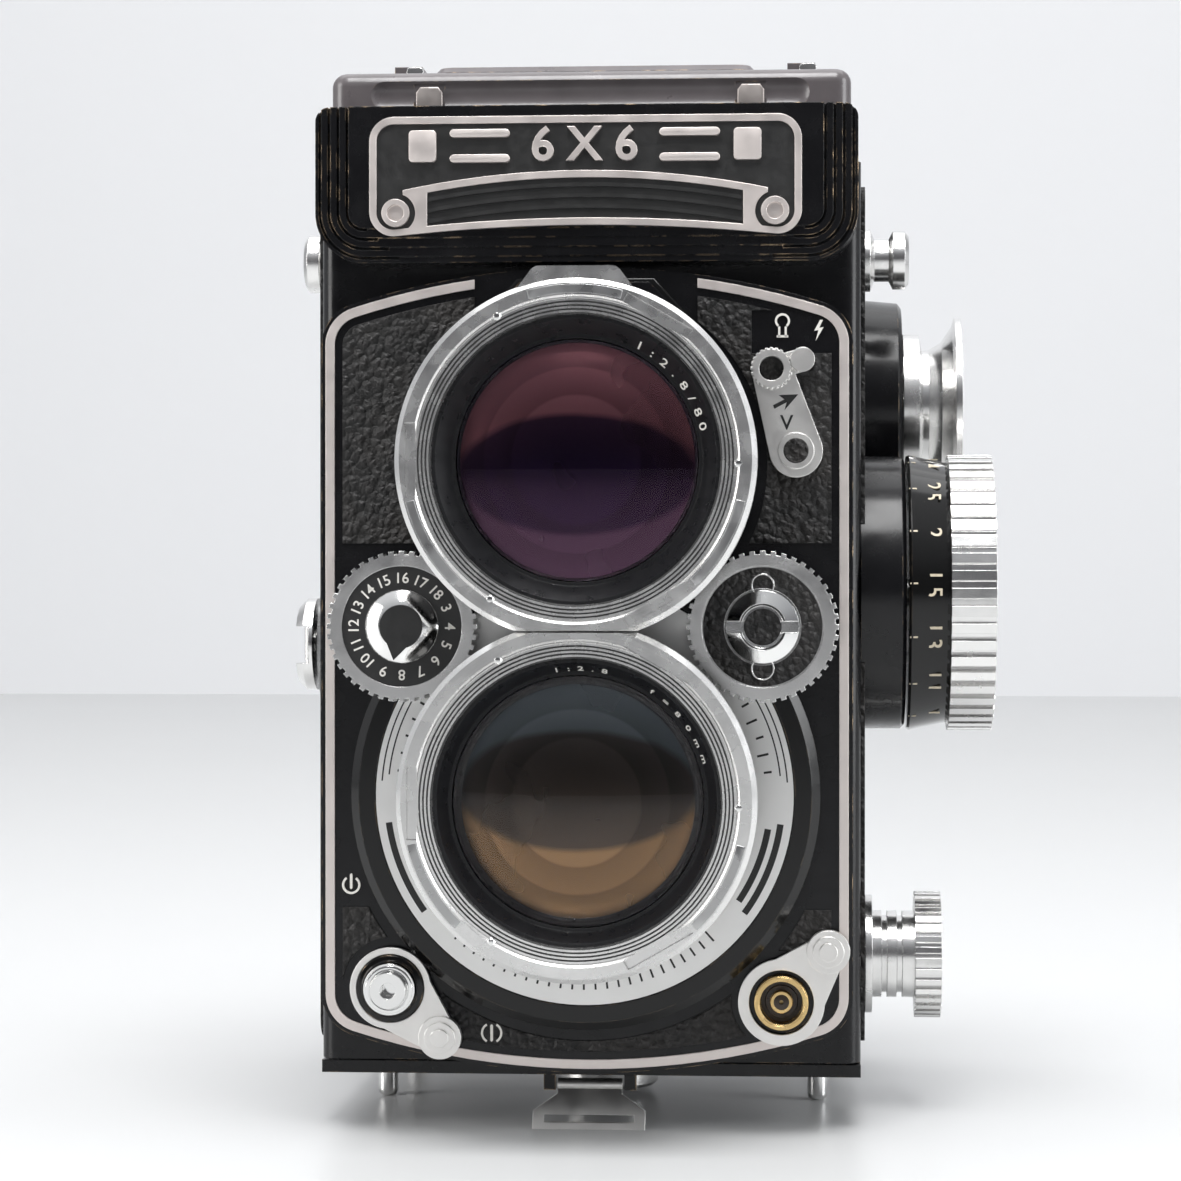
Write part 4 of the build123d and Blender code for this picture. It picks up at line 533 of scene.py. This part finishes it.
class Sculpt:
    """Collects closed shapes, then becomes one piece on a CAD body."""

    def __init__(self):
        self.mesh = bmesh.new()

    def vertex(self, axis, u, v, along):
        place = {"X": (along, u, v), "Y": (u, along, v), "Z": (u, v, along)}[axis]
        return self.mesh.verts.new(place)

    def lathe(self, centre, profile, axis="Y", steps=96):
        """Turned solid; the profile is (radius, place along the axis) and closes on itself."""
        rows = []
        for radius, along in profile:
            count = steps if radius > 0 else 1
            points = [around(centre, radius, 360 * i / count) for i in range(count)]
            rows.append([self.vertex(axis, u, v, along) for u, v in points])
        for a, b in zip(rows, rows[1:] + rows[:1]):
            for i in range(max(len(a), len(b))):
                corners = [a[i % len(a)], a[(i + 1) % len(a)], b[(i + 1) % len(b)], b[i % len(b)]]
                corners = list(dict.fromkeys(corners))
                if len(corners) > 2:
                    self.mesh.faces.new(corners)
        return self

    def slab(self, outline, low, high, axis="Y", bevel=0.0):
        """Flat shape with an outline, between two places along an axis."""
        near = [self.vertex(axis, u, v, low) for u, v in outline]
        far = [self.vertex(axis, u, v, high) for u, v in outline]
        faces = [self.mesh.faces.new(near), self.mesh.faces.new(far[::-1])]
        count = len(outline)
        for i in range(count):
            j = (i + 1) % count
            faces.append(self.mesh.faces.new((near[i], near[j], far[j], far[i])))
        if bevel:
            edges = list(faces[0].edges)
            bmesh.ops.bevel(self.mesh, geom=edges, offset=bevel, segments=3, affect="EDGES", profile=0.5)
        return self

    def inlay(self, outline, face):
        """Thin filling that stands just proud of a front face."""
        return self.slab(outline, face - 0.05, face + 0.3)

    def letters(self, words, size, matrix, depth=0.05, weight=0.0):
        curve = bpy.data.curves.new("letters", "FONT")
        curve.body = words
        curve.size = size
        curve.extrude = depth
        curve.offset = weight
        curve.resolution_u = 4
        curve.align_x = "CENTER"
        curve.align_y = "CENTER"
        holder = bpy.data.objects.new("letters", curve)
        flat = bpy.data.meshes.new_from_object(holder)
        flat.transform(matrix)
        self.mesh.from_mesh(flat)
        bpy.data.objects.remove(holder)
        bpy.data.curves.remove(curve)
        bpy.data.meshes.remove(flat)
        return self

    def flat_letters(self, words, size, node, x, z, turn=0.0, depth=0.05, weight=0.0):
        """Characters lying on a CAD node's front face, turned clockwise."""
        y = face_y(node, x, z)
        place = Matrix.Translation((x, y, z)) @ Matrix.Rotation(radians(turn), 4, "Y") @ FACING
        return self.letters(words, size, place, depth, weight)

    def ring_letters(self, words, size, node, centre, radius, start, pitch):
        """Characters round a cone, each tilted to lie on it."""
        for i, letter in enumerate(words):
            degrees = start + pitch * i
            rise = face_y(node, *around(centre, radius - 0.5, degrees))
            rise -= face_y(node, *around(centre, radius + 0.5, degrees))
            x, z = around(centre, radius, degrees)
            spot = Matrix.Translation((x, face_y(node, x, z), z))
            place = (spot @ Matrix.Rotation(radians(degrees), 4, "Y") @ Matrix.Rotation(atan(rise), 4, "X")
                     @ FACING)
            self.letters(letter, size, place, 0.05, 0.01)
        return self

    def done(self, name, material, node, slot_name, bend=35):
        """Makes the piece and lets it ride with the body that carries the CAD node."""
        bmesh.ops.scale(self.mesh, vec=(MM, MM, MM), verts=self.mesh.verts)
        bmesh.ops.recalc_face_normals(self.mesh, faces=self.mesh.faces)
        data = bpy.data.meshes.new(name)
        self.mesh.to_mesh(data)
        self.mesh.free()
        data.materials.append(material)
        data.polygons.foreach_set("use_smooth", [True] * len(data.polygons))
        data.set_sharp_from_angle(angle=radians(bend))
        piece = bpy.data.objects.new(name, data)
        bpy.context.collection.objects.link(piece)
        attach(piece, BODY_OF[node])
        return piece


VIEW = (VIEW_X / MM, VIEW_Z / MM)
TAKE = (TAKE_X / MM, TAKE_Z / MM)


def dome(radius, rim, ball):
    """Profile of a convex lens face whose rim is at a place along the axis."""
    lift = sqrt(ball * ball - radius * radius)
    steps = 14
    points = [radius * i / steps for i in range(steps + 1)]
    return [(r, rim + lift - sqrt(ball * ball - r * r)) for r in points]


def coated(name, centre, top, middle, bottom, spread, drop=0.0):
    """Coated inner glass with a painted reflection: metallic, so it mirrors the real room too, but its colour
    is painted by place, with crescents at the top and bottom, a dark centre and ghost rings.
    """
    s = Shader(name)
    s.set(Metallic=1.0)
    split = s.node("SeparateXYZ")
    s.put(s.coordinates(), split.inputs[0])
    across = s.math("DIVIDE", s.math("SUBTRACT", split.outputs["X"], centre[0] * MM), 1.05 * spread * MM)
    height = s.math("DIVIDE", s.math("SUBTRACT", split.outputs["Z"], centre[1] * MM), spread * MM)
    tall = s.math("DIVIDE", s.math("ADD", height, drop), 0.52)
    field = s.math("ADD", s.math("MULTIPLY", across, across), s.math("MULTIPLY", tall, tall))
    wavy = s.math("MULTIPLY", s.math("ADD", field, s.math("MULTIPLY", s.noise(150, 2.0), 0.12)), 0.5)
    # Painted reflection: the top and bottom colours are crescents of reflected light near the rim.
    rim = s.ramp(s.math("ADD", s.math("MULTIPLY", height, 0.5), 0.5),
                 [(0.0, bottom), (0.45, bottom), (0.55, top), (1.0, top)])
    # Painted reflection: the crescents lie outside a dark centre.
    reflection_crescent_mask = s.ramp(wavy, [(0.0, (0, 0, 0)), (0.46, (0.08, 0.08, 0.08)), (0.56, (1, 1, 1)), (1.0, (1, 1, 1))])
    # Painted reflection: lighter and darker ghost rings at set radii.
    rings = s.ramp(s.math("DIVIDE", s.radius_about_y(centre[0] * MM, centre[1] * MM), spread * MM),
                   [(0.0, (1, 1, 1)), (0.54, (1, 1, 1)), (0.56, (0.62, 0.62, 0.62)), (0.78, (0.8, 0.8, 0.8)),
                    (0.8, (0.5, 0.5, 0.5)), (1.0, (0.75, 0.75, 0.75))])
    painted_reflection_colour = s.node("Mix", data_type="RGBA", blend_type="MULTIPLY")
    painted_reflection_colour.inputs["Factor"].default_value = 1.0
    s.put(s.mix(reflection_crescent_mask, middle, rim), painted_reflection_colour.inputs["A"])
    s.put(rings, painted_reflection_colour.inputs["B"])
    return s.finish(painted_reflection_colour.outputs["Result"], roughness_range(s, 60, 0.26, 0.3))


def front_glass(name, tint):
    """Front element with a tinted reflection."""
    s = Shader(name)
    s.set(Transmission_Weight=1.0, IOR=1.22, Roughness=0.0, Specular_Tint=(*tint, 1.0))
    return s.finish(s.mix(s.noise(60), (0.97, 0.96, 0.98), (0.94, 0.94, 0.96)))


GLASS_BALL = 40.0


def lens(label, node, centre, front, radius, lip, glass, inner, ring):
    """Front element, cell ring and inner elements, in place of the plain CAD elements."""
    rim = front + 4.0
    outer = dome(radius - 0.1, rim, GLASS_BALL)
    shell = outer + [(r, y + 0.4) for r, y in reversed(outer)]
    piece = Sculpt().lathe(centre, shell).done(label + "_front_element", glass, node, "coated_glass", 20)
    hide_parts(node)
    wide = radius - lip
    rise = dome(wide, rim + 0.6, GLASS_BALL)
    body = rise + [(wide, rim + 2.0), (0, rim + 2.0)]
    Sculpt().lathe(centre, body).done(label + "_inner_element", inner, node, "coated_glass", 20)
    cell = [(radius - 0.1, rim + 0.6)]
    for step in range(3):
        bore = radius - 0.15 - lip * step / 3
        cell += [(bore, rim + 0.5 + 0.12 * step), (bore - lip / 4, rim + 0.55 + 0.12 * step)]
    cell += [(wide + 0.05, rim + 1.6), (radius - 0.1, rim + 1.6)]
    Sculpt().lathe(centre, cell).done(label + "_cell", ring, node, "black_anodised", 20)


# The inner glass colours below are painted reflections: top and bottom crescents round a dark centre.
lens("viewing", "viewing_elements", VIEW, VIEW_FRONT / MM, 16.4, 0.6,
     front_glass("viewing_glass", (1.0, 0.6, 0.8)),
     coated("viewing_painted_reflection", VIEW, (0.2, 0.078, 0.088), (0.01, 0.006, 0.02), (0.07, 0.036, 0.062), 15.8,
            0.12),
     turned_black("viewing_cell_black", (VIEW_X, VIEW_Z), (0.01, 0.007, 0.012)))
lens("taking", "taking_elements", TAKE, TAKE_FRONT / MM, 17.1, 1.3,
     front_glass("taking_glass", (0.85, 0.92, 1.0)),
     coated("taking_painted_reflection", TAKE, (0.13, 0.15, 0.155), (0.05, 0.04, 0.032), (0.24, 0.145, 0.07), 15.8,
            -0.1),
     turned_black("taking_cell_black", (TAKE_X, TAKE_Z), (0.03, 0.028, 0.027)))

# Numbers round the lenses.
marks = Sculpt().ring_letters("1:2.8/80", 2.3, "viewing_name_ring", VIEW, 17.5, 29, 6.6)
marks.done("viewing_numbers", WHITE, "viewing_name_ring", "black_anodised")
marks = Sculpt().ring_letters("1:2.8", 1.8, "taking_name_ring", TAKE, 18.0, -9, 5.2)
marks.ring_letters("f=80mm", 1.8, "taking_name_ring", TAKE, 18.0, 34, 7.4)
marks.done("taking_numbers", WHITE, "taking_name_ring", "black_anodised")

# Bayonet rings: dull recess plates, dark rings in the grooves as painted shadow, and the three grub screws.
for label, node, centre, turns in (("viewing", "viewing_bayonet", VIEW, (0, 120, 240)),
                                   ("taking", "taking_bayonet", TAKE, (120, 240))):
    plates = Sculpt()
    for middle in turns:
        x, z = around(centre, 22.9, middle)
        face = face_y(node, x, z)
        plates.slab(arc_outline(centre, 22.2, 23.4, middle - 16, middle + 16), face - 0.06, face + 0.3,
                    bevel=0.04)
    plates.done(label + "_recess_plates", STEEL, node, "satin_chrome")
    # Painted shadow: thin dark rings in the groove bottoms.
    lines = Sculpt()
    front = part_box(node)[0][1] / MM
    for step in range(4):
        crest = 21.5 - 0.52 * step
        lines.lathe(centre, [(crest - 0.5, front + 0.6), (crest - 0.28, front + 0.6),
                             (crest - 0.28, front + 0.85), (crest - 0.5, front + 0.85)])
    lines.done(label + "_groove_shadow_lines", GROOVE_SHADOW, node, "satin_chrome")
    screws = Sculpt()
    for degrees in (-28.6, 91.4, 211.4):
        x, z = around(centre, 21.85, degrees)
        face = face_y(node, x, z)
        screws.lathe((x, z), [(0, face - 0.25), (0.4, face - 0.2), (0.6, face), (0.6, face + 0.4),
                              (0, face + 0.4)], steps=20)
    screws.done(label + "_grub_screws", BRIGHT, node, "satin_chrome")

# Left dial: numbers, silver hub.
WHEEL_L = (LEFT_WHEEL[0] / MM, LEFT_WHEEL[2] / MM)
WHEEL_R = (RIGHT_WHEEL[0] / MM, RIGHT_WHEEL[2] / MM)
DIAL_Y = DIAL_FACE / MM
numbers = Sculpt()
for value in range(3, 19):
    turn = 90 + 22.5 * (value - 4)
    x, z = around(WHEEL_L, 6.6, turn)
    numbers.flat_letters(str(value), 2.05, "speed_dial", x, z, turn, weight=0.02)
numbers.done("dial_numbers", WHITE, "speed_dial", "black_anodised")
hub = [(2.95, DIAL_Y - 1.05), (4.75, DIAL_Y - 0.36), (5.08, DIAL_Y + 0.05), (5.08, DIAL_Y + 0.4),
       (2.95, DIAL_Y + 0.4)]
Sculpt().lathe(WHEEL_L, hub).done("dial_hub_silver", BRIGHT, "speed_dial", "satin_chrome")

# Right wheel: leather disc, centre disc and two loop outlines.
disc = [(5.3, DIAL_Y + 0.3), (5.3, DIAL_Y + 0.04), (8.15, DIAL_Y + 0.04), (8.15, DIAL_Y + 0.3)]
Sculpt().lathe(WHEEL_R, disc).done("wheel_leather_disc", LEATHER, "aperture_wheel", "leather")
button = [(0, DIAL_Y - 0.56), (2.5, DIAL_Y - 0.56), (2.6, DIAL_Y - 0.3), (0, DIAL_Y - 0.3)]
Sculpt().lathe(WHEEL_R, button).done("wheel_centre_disc", LEATHER, "aperture_hub", "leather")
loops = Sculpt()
for side in (-1, 1):
    middle = (WHEEL_R[0], WHEEL_R[1] + side * 5.7)
    loop = [(1.35, DIAL_Y + 0.1), (1.4, DIAL_Y - 0.06), (1.6, DIAL_Y - 0.06), (1.65, DIAL_Y + 0.1)]
    loops.lathe(middle, loop, steps=40)
loops.done("wheel_loop_marks", CHROME, "aperture_wheel", "satin_chrome")

SELECTOR_PIVOT = (29.3, 94.8)
SELECTOR_RING = (25.9, 106.2)

# Flash selector: engraved arrow and letter, dark centre, and the two signs beside it.
signs = Sculpt()
signs.flat_letters("V", 2.9, "sync_lever", 28.0, 98.6, 0, weight=0.03)
face = face_y("sync_lever", 27.7, 101.2)
signs.slab([(26.3, 100.6), (28.0, 101.5), (27.7, 100.4), (29.6, 102.6), (26.9, 102.5), (27.7, 101.9),
            (26.1, 101.1)], face - 0.04, face + 0.2)
signs.done("selector_engraving", INK, "sync_lever", "satin_chrome")
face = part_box("sync_lever")[0][1] / MM
pin = [(0, face + 0.35), (1.6, face + 0.35), (1.75, face + 0.5), (1.75, face + 1.0), (0, face + 1.0)]
Sculpt().lathe(SELECTOR_PIVOT, pin, steps=40).done("selector_pivot_disc", LEATHER, "sync_lever", "leather")
icons = Sculpt()
panel_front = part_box("front_leathers")[0][1] / MM
icons.inlay(arc_outline((27.4, 112.9), 0.75, 1.05, -140, 140), panel_front)
icons.inlay([(26.6, 110.6), (28.2, 110.6), (28.2, 110.9), (26.6, 110.9)], panel_front)
for left in (26.8, 27.7):
    right = left + 0.3
    icons.inlay([(left, 112.1), (right, 112.1), (right, 110.7), (left, 110.7)], panel_front)
icons.inlay([(32.6, 113.0), (31.8, 111.5), (32.4, 111.6), (32.0, 110.1), (33.1, 112.0), (32.5, 111.9),
             (33.0, 113.0)], panel_front)
icons.done("selector_signs", WHITE, "front_leathers", "leather")
cap_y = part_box("sync_lever")[1][1] / MM
disc = [(0, cap_y - 2.2), (1.6, cap_y - 2.2), (1.68, cap_y - 1.9), (1.68, cap_y), (0, cap_y)]
Sculpt().lathe(SELECTOR_RING, disc, steps=40).done("selector_centre_disc", LEATHER, "sync_lever", "leather")

# Shutter cover ring: engraved arcs, bars and a plain scale in black.
cover_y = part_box("shutter_cover_ring")[0][1] / MM
arcs = Sculpt()
for side in (1, -1):
    for inner, outer, first, last in ((28.1, 28.3, 38, 86), (27.2, 27.4, 40, 84), (27.0, 27.9, 98, 126),
                                      (25.4, 26.3, 100, 124)):
        arcs.slab(arc_outline(TAKE, inner, outer, side * first, side * last), cover_y - 0.03, cover_y + 0.2)
for i in range(25):
    degrees = 138 + 3.5 * i
    inner = 24.6 if i % 4 == 0 else 25.6
    arcs.slab(arc_outline(TAKE, inner, 26.9, degrees - 0.3, degrees + 0.3, 1), cover_y - 0.03, cover_y + 0.2)
for side in (1, -1):
    for i in range(8):
        degrees = side * (44 + 5.5 * i)
        arcs.slab(arc_outline(TAKE, 24.6 + 0.5 * (i % 2), 26.2, degrees - 0.35, degrees + 0.35, 1),
                  cover_y - 0.03, cover_y + 0.2)
arcs.done("cover_ring_engraving", INK, "shutter_cover_ring", "satin_chrome")

# Release: black ring, polished inner ring and tube mouth.
RELEASE = (-27.3, 19.8)
FLASH = (27.3, 18.3)
release_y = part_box("release_guard")[1][1] / MM - 1.1
ring = [(3.75, release_y + 0.6), (3.75, release_y - 0.3), (4.0, release_y - 0.5), (4.6, release_y - 0.4),
        (4.7, release_y + 0.6)]
Sculpt().lathe(RELEASE, ring, steps=64).done("release_black_ring", GLOSS, "front_panel", "black_lacquer")
button_y = face_y("release_button", RELEASE[0] + 3.0, RELEASE[1])
ring = [(2.6, button_y + 0.2), (2.65, button_y - 0.14), (2.9, button_y - 0.22), (3.3, button_y - 0.14),
        (3.4, button_y + 0.2)]
Sculpt().lathe(RELEASE, ring, steps=64).done("release_bead", BRIGHT, "release_button", "satin_chrome")
ring = [(3.1, -45.3), (3.2, -45.66), (3.6, -45.66), (3.7, -45.3)]
Sculpt().lathe(FLASH, ring, steps=64).done("flash_rim", BRASS, "flash_socket", "brass")

well = [(1.6, -42.9), (1.6, -43.3), (2.2, -43.3), (2.3, -42.9), (2.9, -42.9), (2.9, -42.5), (1.6, -42.5)]
Sculpt().lathe(FLASH, well, steps=64).done("flash_well", INSULATION, "flash_socket", "brass")
pin = [(0.3, -44.7), (0.9, -44.68), (1.3, -44.5), (1.45, -44.3), (1.45, -44.0), (0.3, -44.0)]
Sculpt().lathe(FLASH, pin, steps=48).done("flash_pin_collar", INSULATION, "flash_socket", "brass")

# Nameplate: raised generic signs and bars in place of any name.
plate_y = face_y("nameplate_panel", 0, 137.4)
front_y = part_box("nameplate_trim")[0][1] / MM
sign = Sculpt()
place = Matrix.Translation((0, (plate_y + front_y) / 2, 137.2)) @ FACING
sign.letters("6 X 6", 6.6, place, abs(plate_y - front_y) / 2, 0.12)
for side in (-1, 1):
    for x, half, z, rise, corner in ((14.6, 4.2, 139.0, 0.55, 0.55), (14.6, 4.2, 135.5, 0.55, 0.55),
                                     (22.6, 1.9, 137.25, 2.2, 0.5)):
        sign.slab(rounded_bar(side * x, z, half, rise, corner), front_y, plate_y + 0.05, bevel=0.12)
sign.done("nameplate_signs", FROSTED, "nameplate_trim", "satin_chrome")

# Hood knuckles, worn pale.
KNUCKLE_X = 22.85
CATCH_X = 29.8
knuckles = Sculpt()
for side in (-1, 1):
    corners = ((-1.9, 142.6), (1.9, 142.6), (1.9, 146.2), (1.3, 147.0), (-1.3, 147.0), (-1.9, 146.2))
    outline = [(side * KNUCKLE_X + u, v) for u, v in corners]
    knuckles.slab(outline, -35.98, -35.5, bevel=0.2)
knuckles.done("hood_knuckles", WORN_STEEL, "hood_frame", "satin_chrome")

# Catches on the hood lid: bright end faces.
stud_front = surface("hood_lid", (CATCH_X, -200.0, 153.6), (0, 1, 0)).y
caps = Sculpt()
for side in (-1, 1):
    caps.slab(rounded_bar(side * CATCH_X + 1.0, 153.2, 1.25, 1.5, 0.4), stud_front - 0.35, stud_front + 0.1,
              bevel=0.15)
caps.done("lid_catch_caps", BRIGHT, "hood_lid", "satin_chrome")

# Small white signs on the panel.
marks = Sculpt()
marks.inlay(arc_outline((-33.0, 34.1), 1.0, 1.3, 35, 325), panel_front)
marks.inlay(rounded_bar(-33.0, 34.6, 0.18, 1.1, 0.15, 1), panel_front)
for side in (-1, 1):
    marks.inlay(arc_outline((-13.2, 13.5), 1.2, 1.5, side * 30, side * 150), panel_front)
marks.inlay(rounded_bar(-13.2, 13.5, 0.2, 1.2, 0.15, 1), panel_front)
marks.done("panel_signs", WHITE, "front_panel", "black_lacquer")

# Window hood behind the viewing lens, with its two slanted edges.
panel_y = face_y("front_panel", 12.5, 117.6)
hood = Sculpt()
hood.slab([(-9.6, 119.0), (9.6, 119.0), (17.8, 109.8), (14.0, 108.0), (-14.0, 108.0), (-17.8, 109.8)],
          panel_y - 0.9, panel_y + 0.4, bevel=0.35)
hood.done("window_hood", GLOSS, "front_panel", "black_lacquer")

# Focusing scale: distance numbers and ticks on the rim.
AXIS = (KNOB[1] / MM, KNOB[2] / MM)
RIM_X = (SCALE_LOW[0] + SCALE_HIGH[0]) / 2 / MM


def rim_place(degrees):
    """Turn about the knob's axis, from the front."""
    return Matrix.Translation((0, *AXIS)) @ Matrix.Rotation(radians(degrees), 4, "X")


def rim_radius(x, place):
    """Radius of the scale's rim at x, in a turned frame."""
    hit = surface("focus_scale_ring", place @ Vector((x, -60.0, 0)), place.to_3x3() @ Vector((0, 1, 0)))
    return (hit - Vector((x, *AXIS))).length


NUMBER_X = RIM_X + 0.4
TICK_X = RIM_X - 2.2
SCALE_PITCH = -22
SCALE_START = 62
scale = Sculpt()
for i, words in enumerate(("1", "1.1", "1.3", "1.5", "2", "2.5", "4", "8")):
    place = rim_place(SCALE_START + SCALE_PITCH * i)
    lift = Matrix.Translation((NUMBER_X, -rim_radius(NUMBER_X, place), 0))
    scale.letters(words, 3.3, place @ lift @ Matrix.Rotation(radians(90), 4, "Y") @ FACING, 0.06, 0.02)
    radius = rim_radius(TICK_X, place)
    tick = Sculpt()
    tick.slab(rounded_bar(RIM_X - 2.3, 0, 0.55, 0.12, 0.05, 1), -radius - 0.04, -radius + 0.2)
    tick.mesh.transform(place)
    flat = bpy.data.meshes.new("tick")
    tick.mesh.to_mesh(flat)
    scale.mesh.from_mesh(flat)
    tick.mesh.free()
    bpy.data.meshes.remove(flat)
scale.done("focus_scale_numbers", CREAM, "focus_scale_ring", "black_lacquer")

# Knob's end: a reminder dial round a bright cap.
cap_x = surface("focus_knob", (200.0, AXIS[0] + 12.0, AXIS[1]), (-1, 0, 0)).x
Sculpt().lathe(AXIS, [(7.0, cap_x - 0.2), (7.0, cap_x + 0.12), (15.4, cap_x + 0.12), (15.4, cap_x - 0.2)],
               axis="X").done("knob_reminder_dial", DIAL_BLACK, "focus_knob", "black_anodised")
cap = [(0, cap_x - 0.3), (0, cap_x + 0.35), (3.0, cap_x + 0.35), (6.0, cap_x + 0.2), (6.6, cap_x - 0.1),
       (6.6, cap_x - 0.3)]
Sculpt().lathe(AXIS, cap, axis="X").done("knob_cap", BRIGHT, "focus_knob", "satin_chrome")
reminder = Sculpt()
for i, words in enumerate(("12", "25", "50", "100", "200", "400", "800", "1600")):
    centre = Matrix.Translation((cap_x + 0.12, *AXIS)) @ Matrix.Rotation(radians(-45 * i), 4, "X")
    turn = Matrix.Translation((0, 0, 11.6)) @ Matrix.Rotation(radians(90), 4, "Z") @ FACING
    reminder.letters(words, 2.8, centre @ turn, 0.06, 0.02)
reminder.done("knob_reminder_numbers", WHITE, "focus_knob", "black_anodised")
